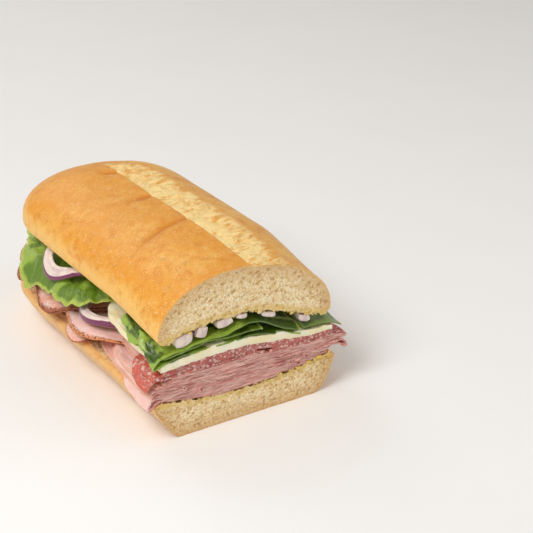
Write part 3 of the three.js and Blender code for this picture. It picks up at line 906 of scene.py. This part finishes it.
def curl_skin(x, z, turns, radius, seed):
    """A loose end of a slice rolled up at the cut: a spiral sheet that runs inwards."""
    deep, thick = 5, 0.42

    def rule(u, v, w):
        angle = seed + 2 * np.pi * turns * u
        far = radius * (1 - 0.62 * u) + thick * (w - 0.5) + 0.1 * grain(angle, v, 0, 1.5, seed, 2)
        y = CUT_Y - 0.9 + deep * v + 0.3 * grain(angle, 0, 0, 1.2, seed, 2) * (1 - v)
        marks = {"rim": 0, "cut": sliced_face(y), "tone": 0}
        return x + far * np.cos(angle), y, z + 0.85 * far * np.sin(angle), marks

    return Skin().block(rule, steps(70), steps(8), steps(3))


def folded_slice(seed, curls=(), **shape):
    """The welded layers of one folded slice node and of its loose curls."""
    return [folded_slice_skin(seed=seed, **shape), *(curl_skin(*curl, seed) for curl in curls)]


def disk_slices(count, seed, shares, at, size, square=2, air=0.3, wave=0.6, grids=(44, 150)):
    """The welded layers of one whole slice inside the roll: an oval or squarish outline with an
    uneven edge, thinner and wavier towards its rim."""
    skins = []
    for n, layer in enumerate(stacked(shares, count)):
        draw = np.random.default_rng(seed * 10 + n)
        below = n < count - 1
        dx, dy = draw.uniform(-1.2, 1.2, 2) * below
        shrink, tone = 1 - 0.04 * draw.random() * below, draw.random()

        def rule(r, angle, w, layer=layer, dx=dx, dy=dy, shrink=shrink, tone=tone, n=n):
            ring_x, ring_y = np.cos(angle), np.sin(angle)
            grown = shrink * r * (1 + 0.02 * r**2 * grain(ring_x, ring_y, n, 0.35, seed, 3))
            x = at[0] + dx + size[0] * grown * power(ring_x, 2 / square)
            y = at[1] + dy + size[1] * grown * power(ring_y, 2 / square)
            gaps = grain(x, y, seed, 8, seed + 1, 2)
            depth = 0.5 + (w - 0.5) * (1 - 0.5 * smooth(0.93, 1, r))
            ruffle = wave * r**4 * grain(x, y, seed, 7, seed + n, 2)
            z = level(thinned(layer, depth, air, gaps), x, y) + ruffle
            z = z + 0.12 * grain(x, y, w, 2.4, seed + 5, 2)
            return x, y, z, {"rim": smooth(0.9, 1, r), "cut": 0, "tone": tone}

        skins.append(Skin().ring(rule, 1 - (1 - steps(grids[0])) ** 1.6, grids[1], steps(2)))
    return skins


def slice_pieces(slot, shapes, seed, material, make, **values):
    """One piece for each slice node of a table, each with a seed of its own."""
    for number, (node, shape) in enumerate(shapes.items(), seed):
        skins = make(seed=number, **values, **shape)
        piece(f"slice_of_{node}", [node], skins, material)


HAM_CUT = {
    "ham_3": dict(shares=HAM_C, left=-42.5, right=42, end=-26, corner=5),
    "ham_4": dict(shares=HAM_D, left=-39.5, right=45, end=-59),
}
HAM_FOLDED = {
    "ham_1": dict(shares=HAM_A, fold=-43, far_low=37, far_high=34, end=-38, bulge=2.4,
                  curls=((23, 17.4, 1.3, 1.5), (-21, 19, 1.1, 1.0))),
    "ham_2": dict(shares=HAM_B, fold=46.5, far_low=-41.5, far_high=-38, end=-6, bulge=2.2,
                  curls=((27, 19.6, 1.2, 1.3), (19.5, 18.6, 0.9, 0.9), (-28, 21.5, 1.0, 0.9))),
    "ham_5": dict(shares=HAM_E, fold=46, far_low=-37, far_high=-33, end=-20, bulge=0.3),
}
HAM_PEPPERED = {"ham_6": dict(shares=HAM_D, at=(-8, -18), size=(36, 34))}
HAM_WHOLE = {
    "ham_7": dict(shares=HAM_A, at=(3, 16), size=(39.5, 46)),
    "ham_8": dict(shares=HAM_B, at=(0, 31), size=(38.5, 35)),
    "ham_9": dict(shares=HAM_C, at=(0, 20), size=(41, 42)),
}
HOT_HAM = {
    "hot_ham_1": dict(shares=HAM_E, at=(-13.5, 9), size=(32, 27)),
    "hot_ham_2": dict(shares=HAM_D, at=(-7, 38), size=(34.5, 20)),
    "ham_fold": dict(shares=HAM_A, at=(-40.5, -13), size=(3.4, 8), grids=(14, 60)),
}
SALAMI_CUT = {
    "salami_1": dict(shares=SALAMI_F, left=-44, right=8, end=-53, corner=4),
    "salami_2": dict(shares=SALAMI_F, left=10, right=46.5, end=-30),
    "salami_3": dict(shares=SALAMI_G, left=-38, right=40, end=-48),
}
SALAMI_WHOLE = {
    "salami_4": dict(shares=SALAMI_F, at=(12, -2), size=(24, 24)),
    "salami_5": dict(shares=SALAMI_G, at=(-12, 33), size=(29, 26)),
    "salami_6": dict(shares=SALAMI_F, at=(20, 43), size=(21, 20)),
}
CHEESE_CUT = {"cheese_1": dict(shares=CHEESE, left=-37.5, right=39, end=-19, corner=8)}
CHEESE_WHOLE = {"cheese_2": dict(shares=CHEESE, at=(0, 20), size=(36.5, 37), square=4)}


class SANDWICH_OT_ham(bpy.types.Operator):
    """Builds the ham slices, each node as two or three thin layers"""

    bl_idname = "sandwich.ham"
    bl_label = "Ham slices"

    def execute(self, context):
        look = context.scene.sandwich_look
        ham = ham_material("cooked_ham", look, look.ham, look.ham_edge, 0.15)
        peppered = ham_material("peppered_ham", look, look.ham, look.ham_rim, 0.9)
        hot = ham_material("browned_ham", look, look.hot_ham, look.hot_ham_rim, 1.0)
        slice_pieces("ham", HAM_CUT, 40, ham, cut_slices, count=3)
        slice_pieces("ham", HAM_FOLDED, 45, ham, folded_slice)
        slice_pieces("ham", HAM_PEPPERED, 50, peppered, disk_slices, count=2)
        slice_pieces("ham", HAM_WHOLE, 51, ham, disk_slices, count=2)
        slice_pieces("hot_ham", HOT_HAM, 60, hot, disk_slices, count=2)
        return {"FINISHED"}


class SANDWICH_OT_salami(bpy.types.Operator):
    """Builds the salami slices"""

    bl_idname = "sandwich.salami"
    bl_label = "Salami slices"

    def execute(self, context):
        salami = salami_material(context.scene.sandwich_look)
        slice_pieces("salami", SALAMI_CUT, 70, salami, cut_slices, count=2, air=0.25)
        slice_pieces("salami", SALAMI_WHOLE, 80, salami, disk_slices, count=2, air=0.25, wave=0.8)
        return {"FINISHED"}


class SANDWICH_OT_cheese(bpy.types.Operator):
    """Builds the two cheese slices"""

    bl_idname = "sandwich.cheese"
    bl_label = "Cheese slices"

    def execute(self, context):
        cheese = cheese_material(context.scene.sandwich_look)
        slice_pieces("cheese", CHEESE_CUT, 90, cheese, cut_slices, count=1, air=0, full=1.1)
        slice_pieces("cheese", CHEESE_WHOLE, 91, cheese, disk_slices, count=1, air=0, wave=0.2)
        return {"FINISHED"}


def veins_at(x, y, at):
    """1 on the leaf's rib and on the side veins that branch from it at a slant, by bell curves."""
    spread = 8
    dx = x - at[0]
    rib = np.exp(-(dx / 1.1) ** 2)
    run = (y - at[1] + 0.8 * np.abs(dx)) / spread
    side = np.exp(-((run - np.round(run)) * spread / 0.5) ** 2) * smooth(0, 3, np.abs(dx))
    return np.maximum(rib, 0.6 * side)


def leaf_skin(share, at, size, lobes, ruffle, seed):
    """A leaf: an oval with lobes and fine teeth, ruffled in share and height towards its rim by
    sines and noise along the rim, and blistered between its veins by noise."""
    lobe, teeth, frill, thick = 0.05, 0.05, 5.5, 0.6

    def rule(r, angle, w):
        ring_x, ring_y = np.cos(angle), np.sin(angle)
        tooth = grain(9 * ring_x, 9 * ring_y, seed, 0.8, seed, 2)
        outline = 1 + lobe * r**3 * np.sin(lobes * angle + 1) + teeth * r**8 * tooth
        x = at[0] + size[0] * r * outline * ring_x
        y = at[1] + size[1] * r * outline * ring_y
        wave = np.sin(lobes * angle) + 0.4 * np.sin(round(2.3 * lobes) * angle + 2 * r)
        loose = grain(4 * ring_x, 4 * ring_y, 1.2 * r, 1.0, seed + 1, 3)
        vein = veins_at(x, y, at)
        blister = grain(x, y, 0, 5, seed + 2, 2) - 0.4 * vein
        z = level(share + ruffle * r**3 * wave, x, y) + frill * r**4 * loose + 1.1 * blister
        z = z + thick * w * (1 - 0.5 * smooth(0.93, 1, r))
        rim = smooth(0.86, 1, r)
        marks = {"rim": rim, "vein": vein * (1 - rim), "cut": 0}
        # The mark lift is the blisters' and ruffles' height, by which the leaf's material paints
        # highlight on the ridges and shade in the hollows.
        return x, y, z, {**marks, "lift": blister + 1.2 * r**4 * loose}

    return Skin().ring(rule, 1 - (1 - steps(70)) ** 1.4, 300, steps(2))


def folded_leaf_skin(left, right, end, seed):
    """The leaf folded double beside the cut: a lower layer, a half round fold on the left and an
    upper layer that arches in the middle, with soft blisters pushed out along its normal."""
    bend, fold_reach, thick = 0.14, 3.6, 0.55
    lower_share, upper_share, arch_height = 0.708, 0.775, 0.13

    def rule(u, v, w):
        y = mix(CUT_Y, end, v)
        turn, flat, up = folded(u, bend)
        blister = 2.2 * grain(60 * u, y, 0, 7, seed, 2) + grain(60 * u, y, 0, 2.6, seed + 1, 2)
        fold = left * (1 - 0.05 * v**2) + fold_reach + 0.8 * grain(y, 0, 0, 8, seed + 2, 2)
        offset = (w - 0.5) * thick + blister * (1 - 0.8 * smooth(0.1, 0.6, flat))
        x = mix(fold, right - 3 * v + 2 * grain(y, 5, 0, 6, seed + 3, 2), flat)
        x = x - (fold_reach + offset) * np.cos(turn)
        arch = np.maximum(np.exp(-(((x - 4) / 11) ** 2)), smooth(0.15, 0.55, v))
        above = upper_share + arch_height * arch
        z = level(mix(lower_share, above, up), x, y) + offset * np.sin(turn)
        front, layer = 1 - smooth(0, 5, y - CUT_Y), 3 * (u > 0.5)
        z = z - 1.1 * front * flat + 0.35 * front * grain(x, 0, layer, 4, seed + 4, 2)
        y = y + front * (0.5 * grain(x, 0, layer, 5, seed + 5, 2) - 0.3)
        vein = 0.5 * np.exp(-((u - 0.5 - 0.1 * v) / 0.012) ** 2)
        marks = {"rim": smooth(0.93, 1, flat), "vein": vein, "cut": v < 1e-6}
        # The mark lift is the blisters' height, by which the leaf's material paints highlight on
        # the ridges and shade in the hollows.
        return x, y, z, {**marks, "lift": 0.8 * blister}

    return Skin().block(rule, steps(260), steps(70, 1.3), steps(3))


def cut_leaf_skin(share, left, right, end, seed):
    """A leaf at the cut: one wavy layer, narrowing inwards."""
    thick = 0.5

    def rule(u, v, w):
        x = mix((left + right) / 2, mix(left, right, u), narrowing(v, 3))
        y = mix(CUT_Y, end, v)
        lift = 0.9 * grain(x, y, 0, 8, seed, 2) * smooth(0, 0.15, u)
        z = level(share, x, y) + thick * (w - 0.5) + lift
        front = 1 - smooth(0, 4, y - CUT_Y)
        y = y + front * (0.6 * grain(x, 0, 0, 5, seed + 1, 2) - 0.3)
        return x, y, z, {"rim": smooth(0.9, 1, u), "vein": 0, "cut": v < 1e-6}

    return Skin().block(rule, steps(70), steps(70, 1.2), steps(3))


class SANDWICH_OT_lettuce(bpy.types.Operator):
    """Builds the lettuce leaves"""

    bl_idname = "sandwich.lettuce"
    bl_label = "Lettuce leaves"

    def execute(self, context):
        look = context.scene.sandwich_look
        dark = lettuce_material("dark_lettuce", look, look.leaf)
        frilly = lettuce_material("frilly_lettuce", look, look.leaf_frilly)
        leaves = {
            "folded_leaf": ("lettuce_1", dark, folded_leaf_skin(-39.5, 24, -46, 101),
                            cut_leaf_skin(0.77, -36, 7, -50, 104)),
            "left_leaf": ("lettuce_2", frilly,
                          leaf_skin(0.74, (-17, 10), (29, 45), 7, 0.03, 111)),
            "cut_leaf": ("lettuce_3", dark, cut_leaf_skin(0.77, 25, 44, -24, 121)),
            "right_leaf": ("lettuce_4", frilly,
                           leaf_skin(0.835, (18, 20), (28, 39), 7, 0.03, 131)),
            "end_leaf": ("lettuce_5", frilly, leaf_skin(0.91, (2, 42), (24, 27), 6, 0.02, 141)),
        }
        for name, (node, leaf, *skins) in leaves.items():
            piece(name, [node], skins, leaf)
        return {"FINISHED"}


def onion_ring_skin(shares, at, radius, hole, seed):
    """A ring of onion: an uneven circle carried by a rounded band section, a power circle of the
    place across the band, with a groove between its two layers."""
    stretch, fill = 1.06, 0.95

    def rule(r, angle, w):
        across = (r - hole) / (1 - hole)
        ring_x, ring_y = np.cos(angle), np.sin(angle)
        far = radius * r * (1 + 0.02 * grain(2 * ring_x, 2 * ring_y, seed, 1, seed, 2))
        x, y = at[0] + far * ring_x, at[1] + far * ring_y * stretch
        groove = np.exp(-((across - 0.45) / 0.09) ** 2)
        tall = fill * (1 - np.abs(2 * across - 1) ** 3.5).clip(0) ** (1 / 2.4)
        share = (shares[0] + shares[1]) / 2 + (w - 0.5) * (shares[1] - shares[0]) * tall
        z = level(share, x, y) - 0.25 * groove * (w - 0.5)
        return x, y, z, {"skin": smooth(0.8, 0.97, across), "layer": groove}

    return Skin().ring(rule, hole + (1 - hole) * both_ends(26), 180, steps(2))


def onion_dice_skin(x, width, height, seed):
    """A cube of onion at the cut: a bent block whose corners are drawn in, with one purple side."""
    depth, soft = 5.5, 0.5
    draw = np.random.default_rng(seed)
    tilt, purple = draw.uniform(-0.45, 0.45), draw.random()

    def drawn_in(a, b, c):
        return a * np.sqrt(1 - soft * (b**2 + c**2) / 2 + soft * (b * c) ** 2 / 3)

    def rule(u, v, w):
        a, b, c = 2 * u - 1, 2 * v - 1, 2 * w - 1
        side, deep, top = drawn_in(a, b, c), (drawn_in(b, a, c) + 1) / 2, drawn_in(c, a, b)
        across = (side * math.cos(tilt) - top * math.sin(tilt) * height / width + 1) / 2
        up = (top * math.cos(tilt) + side * math.sin(tilt) + 1) / 2
        px = x + (across - 0.5) * width * (1 - 0.12 * deep + 0.3 * (purple - 0.5) * up)
        y = CUT_Y + depth * deep
        drop = height + 0.5 * np.sin(np.pi * np.clip(across, 0, 1))
        z = top_hollow(px, y) - CEILING_CLEARANCE - drop * (1 - up)
        z = z + 0.3 * grain(px, y, z, 3, seed, 2)
        skin_side = smooth(0.75, 1, u if purple > 0.5 else 1 - u)
        layer = np.exp(-((across - 0.5) / 0.08) ** 2)
        return px, y, z, {"skin": (0.4 + 0.35 * purple) * skin_side, "layer": layer}

    return Skin().block(rule, both_ends(16), both_ends(12), both_ends(12))


RINGS = {
    "onion_ring_1": dict(shares=(0.88, 0.97), at=(-26, 6), radius=17, hole=0.74),
    "onion_ring_2": dict(shares=(0.42, 0.56), at=(-27, -21), radius=14.5, hole=0.73),
    "onion_ring_3": dict(shares=(0.68, 0.76), at=(28, -6), radius=14, hole=0.68),
}
DICE = ((-27, 8, 4.6), (-19.5, 5.5, 4.4), (-9.5, 8.5, 3.4), (-2, 5.5, 1.9), (10, 7, 2.2),
        (26.5, 6, 2.8))


class SANDWICH_OT_onion(bpy.types.Operator):
    """Builds the onion rings and the diced onion at the cut"""

    bl_idname = "sandwich.onion"
    bl_label = "Onion"

    def execute(self, context):
        onion = onion_material(context.scene.sandwich_look)
        for seed, (node, shape) in enumerate(RINGS.items(), 150):
            piece(f"ring_of_{node}", [node], [onion_ring_skin(seed=seed, **shape)], onion)
        for n, (x, width, height) in enumerate(DICE, 1):
            skins = [onion_dice_skin(x, width, height, 160 + n)]
            piece(f"diced_onion_{n}", [f"onion_dice_{n}"], skins, onion)
        return {"FINISHED"}


def blob_skins(centres, radii, flat, seed):
    """Small lumps: spheres pressed flat and dented by noise."""
    skins = []
    for n, ((cx, cy, cz), radius) in enumerate(zip(centres, radii)):
        u, v = np.meshgrid(np.linspace(0, 2 * np.pi, 13), np.linspace(0, np.pi, 8), indexing="ij")
        ux, uy, uz = np.cos(u) * np.sin(v), np.sin(u) * np.sin(v), np.cos(v)
        size = radius * (1 + 0.45 * grain(ux, uy, uz, 0.8, seed + n, 2))
        skin = Skin()
        skin.grid(cx + size * ux, cy + size * uy, cz + flat * size * uz)
        skins.append(skin.weld())
    return skins


def scattered(draw, count, across, inwards, ground, lift, radii, flat, seed):
    """Lumps scattered at the cut, lifted from a ground that is a function of x and y."""
    x = draw.uniform(*across, count)
    y = CUT_Y + draw.uniform(*inwards, count)
    z = ground(x, y) + draw.uniform(*lift, count)
    return blob_skins(np.stack([x, y, z], -1), draw.uniform(*radii, count), flat, seed)


class SANDWICH_OT_dressing(bpy.types.Operator):
    """Builds the mustard drops and the herb flecks"""

    bl_idname = "sandwich.dressing"
    bl_label = "Mustard and herbs"

    def execute(self, context):
        look, sizes = context.scene.sandwich_look, context.scene.sandwich_sizes
        draw = np.random.default_rng(9)

        count = sizes.mustard_drops
        drops = scattered(
            draw, count, (-30, 34), (-0.3, 3), bed, (-0.3, 0.5), (0.5, 1.3), 0.45, 200)
        drops += scattered(
            draw, count, (-28, 32), (0, 3), top_hollow, (-0.5, 0.4), (0.4, 0.9), 0.6, 300)
        mustard = plain_material("mustard", look.mustard, look.sauce, 1.5, 0.3, 0.4)
        piece("mustard_drops", [], drops, mustard)

        def either_crumb(x, y):
            return np.where(draw.random(len(x)) < 0.7, bed(x, y), top_hollow(x, y))

        flecks = scattered(draw, sizes.herb_flecks, (-30, 32), (-0.5, 1.5), either_crumb,
                           (-0.5, 0.4), (0.2, 0.45), 0.6, 400)
        herbs = plain_material("herbs", look.herb, look.pepper, 0.8, 0.6, 0)
        piece("herb_flecks", [], flecks, herbs)
        return {"FINISHED"}


class SANDWICH_OT_stage(bpy.types.Operator):
    """Builds the floor, the soft lights and the camera"""

    bl_idname = "sandwich.stage"
    bl_label = "Floor, lights and camera"

    def execute(self, context):
        stage = context.scene.sandwich_stage
        side = stage.floor_size * MM
        mesh = bpy.data.meshes.new("floor")
        mesh.from_pydata([(-side, -side, 0), (side, -side, 0), (side, side, 0), (-side, side, 0)],
                         [], [(0, 1, 2, 3)])
        floor = bpy.data.objects.new("floor", mesh)
        context.scene.collection.objects.link(floor)
        board = Board("pale_floor")
        cloud = board.noise(60, 2)
        colour = board.layers(stage.floor_colour, (cloud, stage.floor_second))
        mesh.materials.append(board.finish(colour, 0.9, board.bump(cloud, 0.05, 0.1)))

        middle = Vector((0, 0, 30)) * MM
        lamps = (("key_light", stage.key_power, stage.key_size, (-520, -240, 700)),
                 ("fill_light", stage.fill_power, stage.fill_size, (620, -520, 420)),
                 ("back_light", stage.back_power, stage.back_size, (-100, 700, 650)))
        for name, watts, size, spot in lamps:
            lamp = bpy.data.lights.new(name, "AREA")
            lamp.energy, lamp.size = watts, size * MM
            shown = bpy.data.objects.new(name, lamp)
            shown.location = Vector(spot) * MM
            shown.rotation_euler = (middle - shown.location).to_track_quat("-Z", "Y").to_euler()
            context.scene.collection.objects.link(shown)

        world = bpy.data.worlds.new("soft_sky")
        world.use_nodes = True
        sky = world.node_tree.nodes["Background"]
        sky.inputs["Color"].default_value = (*stage.sky_colour, 1)
        sky.inputs["Strength"].default_value = stage.sky_strength
        context.scene.world = world
        context.scene.view_settings.view_transform = "Standard"

        around, up = math.radians(stage.camera_azimuth), math.radians(stage.camera_elevation)
        forward = Vector((-math.sin(around) * math.cos(up), math.cos(around) * math.cos(up),
                          -math.sin(up)))
        lens = bpy.data.cameras.new("camera")
        lens.lens, lens.sensor_width = stage.camera_lens, 36
        lens.clip_start, lens.clip_end = 0.01, 20
        camera = bpy.data.objects.new("camera", lens)
        camera.location = (Vector(stage.camera_target) - forward * stage.camera_distance) * MM
        camera.rotation_euler = forward.to_track_quat("-Z", "Y").to_euler()
        context.scene.collection.objects.link(camera)
        context.scene.camera = camera
        return {"FINISHED"}


# Settings

class SandwichSizes(bpy.types.PropertyGroup):
    stain_depth: length("Stain depth", "How far sauce soaks into the crumb, mm", 4.4)
    pore_lean: number(
        "Pore lean", "Turn of the crumb's pores at the cut", -0.9, subtype="ANGLE")
    mustard_drops: bpy.props.IntProperty(
        name="Mustard drops", description="Drops at each crumb", default=44, min=0)
    herb_flecks: bpy.props.IntProperty(
        name="Herb flecks", description="Flecks of herb and pepper", default=22, min=0)


class SandwichLook(bpy.types.PropertyGroup):
    crust: tint("Crust", "Golden crust", (230, 154, 42))
    crust_pale: tint("Pale crust", "Paler lower crust", (242, 188, 92))
    crust_dark: tint("Dark crust", "Creases of the crust", (206, 118, 30))
    fleck: tint("Crust flecks", "Fine pale flecks of the crust", (253, 216, 148))
    crust_edge: tint("Crust edge", "Thin crust line at the cut", (238, 198, 134))
    base: tint("Bottom crust", "Smooth tan bottom crust", (220, 158, 84))
    base_pale: tint("Pale bottom crust", "Paler side of the bottom crust", (236, 184, 112))
    base_edge: tint("Bottom edge", "Brown line along the bottom", (186, 112, 52))
    strip: tint("Torn strip", "Pale torn strip", (255, 222, 152))
    strip_gold: tint("Torn strip gold", "Golden flakes of the strip", (234, 166, 68))
    crumb: tint("Crumb", "Open crumb", (234, 200, 140))
    # Painted highlight on the crumb's walls.
    crumb_wall_highlight: tint("Light crumb", "Walls of the crumb", (254, 238, 202))
    # Painted shade in the crumb's pores.
    crumb_pore_shade: tint("Crumb pore", "Hollows of the crumb", (204, 158, 92))
    # Darker and warmer near the crust: partly toasted, partly painted shade.
    crumb_toast_and_shade: tint("Warm crumb", "Crumb close to the crust", (204, 156, 92))
    sauce: tint("Sauce stain", "Crumb stained by sauce", (226, 190, 92))
    ham: tint("Ham", "Faces of the ham", (250, 202, 190))
    ham_pale: tint("Pale ham", "Pale marbling of the ham", (250, 218, 208))
    ham_cut: tint("Ham at the cut", "Sliced edges of the ham", (208, 128, 120))
    # Painted highlight on the streaks at the cut.
    ham_cut_highlight: tint("Ham highlights", "Pale streaks at the cut", (250, 200, 186))
    ham_rim: tint("Ham rim", "Browned rim of the ham", (222, 140, 84))
    ham_edge: tint("Ham edge", "Thin edge of the plain ham", (238, 178, 150))
    hot_ham: tint("Browned ham", "Orange-brown slices", (244, 156, 114))
    hot_ham_rim: tint("Browned ham rim", "Dark rim of those slices", (176, 96, 54))
    pepper: tint("Pepper", "Dark speckles", (72, 40, 24))
    ham_deep: tint("Deep ham", "Deeper tone of some slices", (208, 142, 136))
    # Painted shade in the seams between the slices at the cut.
    ham_seam_shade: tint("Ham seams", "Thin lines between the slices at the cut", (160, 84, 80))
    fat: tint("Fat", "Pale fat of the ham", (238, 206, 194))
    salami: tint("Salami", "Salami meat", (200, 104, 94))
    salami_dark: tint("Dark salami", "Darker salami meat", (170, 80, 76))
    salami_face: tint("Salami face", "Brighter faces of the salami", (222, 92, 74))
    salami_fat: tint("Salami fat", "Salami fat", (240, 202, 190))
    salami_skin: tint("Salami skin", "Rim of the salami", (206, 92, 50))
    cheese: tint("Cheese", "Cheese", (248, 232, 186))
    cheese_light: tint("Light cheese", "Paler cheese", (252, 246, 220))
    cheese_edge: tint("Cheese edge", "Dried edge of the cheese", (240, 224, 172))
    leaf: tint("Leaf", "Dark lettuce", (66, 94, 10))
    # Random paler green, and painted highlight on the leaves' ridges.
    leaf_pale_and_lit_ridge: tint("Light leaf", "Lighter lettuce", (152, 180, 62))
    leaf_frilly: tint("Frilly leaf", "Light green frilly leaf", (98, 130, 20))
    leaf_rim: tint("Leaf rim", "Pale rim of the leaves", (186, 200, 84))
    leaf_vein: tint("Leaf veins", "Veins", (168, 194, 104))
    leaf_cut: tint("Cut leaf", "Cut edges of the leaves", (112, 134, 46))
    onion: tint("Onion", "Onion flesh", (236, 220, 208))
    onion_lilac: tint("Lilac onion", "Lilac lines of the onion", (204, 174, 184))
    onion_skin: tint("Onion skin", "Purple skin side", (124, 54, 92))
    mustard: tint("Mustard", "Mustard drops", (230, 192, 80))
    herb: tint("Herbs", "Herb flecks", (70, 84, 30))


class SandwichStage(bpy.types.PropertyGroup):
    floor_size: length("Floor size", "Half side of the floor, mm", 3000)
    floor_colour: tint("Floor", "Floor colour", (246, 245, 243))
    floor_second: tint("Floor cloud", "Second floor colour", (250, 249, 247))
    sky_colour: tint("Sky", "Colour of the soft light all round", (255, 251, 245))
    sky_strength: number("Sky strength", "Soft light all round", 0.42)
    key_power: number("Key light", "Power of the key light, W", 4.6, subtype="POWER")
    fill_power: number("Fill light", "Power of the fill light, W", 1.2, subtype="POWER")
    back_power: number("Back light", "Power of the back light, W", 1.4, subtype="POWER")
    key_size: length("Key size", "Side of the key light, mm", 420)
    fill_size: length("Fill size", "Side of the fill light, mm", 700)
    back_size: length("Back size", "Side of the back light, mm", 600)
    camera_azimuth: number("Azimuth", "Where the camera stands, degrees", -30.96)
    camera_elevation: number("Elevation", "Height of the camera, degrees", 27)
    camera_lens: length("Lens", "Focal length, mm", 94.559)
    camera_distance: length("Distance", "Camera to target, mm", 560)
    camera_target: bpy.props.FloatVectorProperty(
        name="Target", description="Point the camera looks at, mm",
        default=(25.71, -55.19, 51.59), size=3)


STEPS = (SANDWICH_OT_bread, SANDWICH_OT_ham, SANDWICH_OT_salami, SANDWICH_OT_cheese,
         SANDWICH_OT_lettuce, SANDWICH_OT_onion, SANDWICH_OT_dressing, SANDWICH_OT_stage)


class SANDWICH_PT_panel(bpy.types.Panel):
    """Lists the pieces of the sandwich"""

    bl_idname = "SANDWICH_PT_panel"
    bl_label = "Submarine Sandwich"
    bl_space_type = "VIEW_3D"
    bl_region_type = "UI"
    bl_category = "Sandwich"

    def draw(self, context):
        for step in STEPS:
            self.layout.operator(step.bl_idname)


GROUPS = {"sandwich_sizes": SandwichSizes, "sandwich_look": SandwichLook,
          "sandwich_stage": SandwichStage}


def register():
    for group in GROUPS.values():
        bpy.utils.register_class(group)
    for name, group in GROUPS.items():
        setattr(bpy.types.Scene, name, bpy.props.PointerProperty(type=group))
    for kind in (*STEPS, SANDWICH_PT_panel):
        bpy.utils.register_class(kind)


def unregister():
    for kind in (SANDWICH_PT_panel, *reversed(STEPS)):
        bpy.utils.unregister_class(kind)
    for name, group in GROUPS.items():
        delattr(bpy.types.Scene, name)
        bpy.utils.unregister_class(group)


def main():
    register()
    for step in STEPS:
        getattr(bpy.ops.sandwich, step.bl_idname.removeprefix("sandwich."))()


if __name__ == "__main__":
    main()
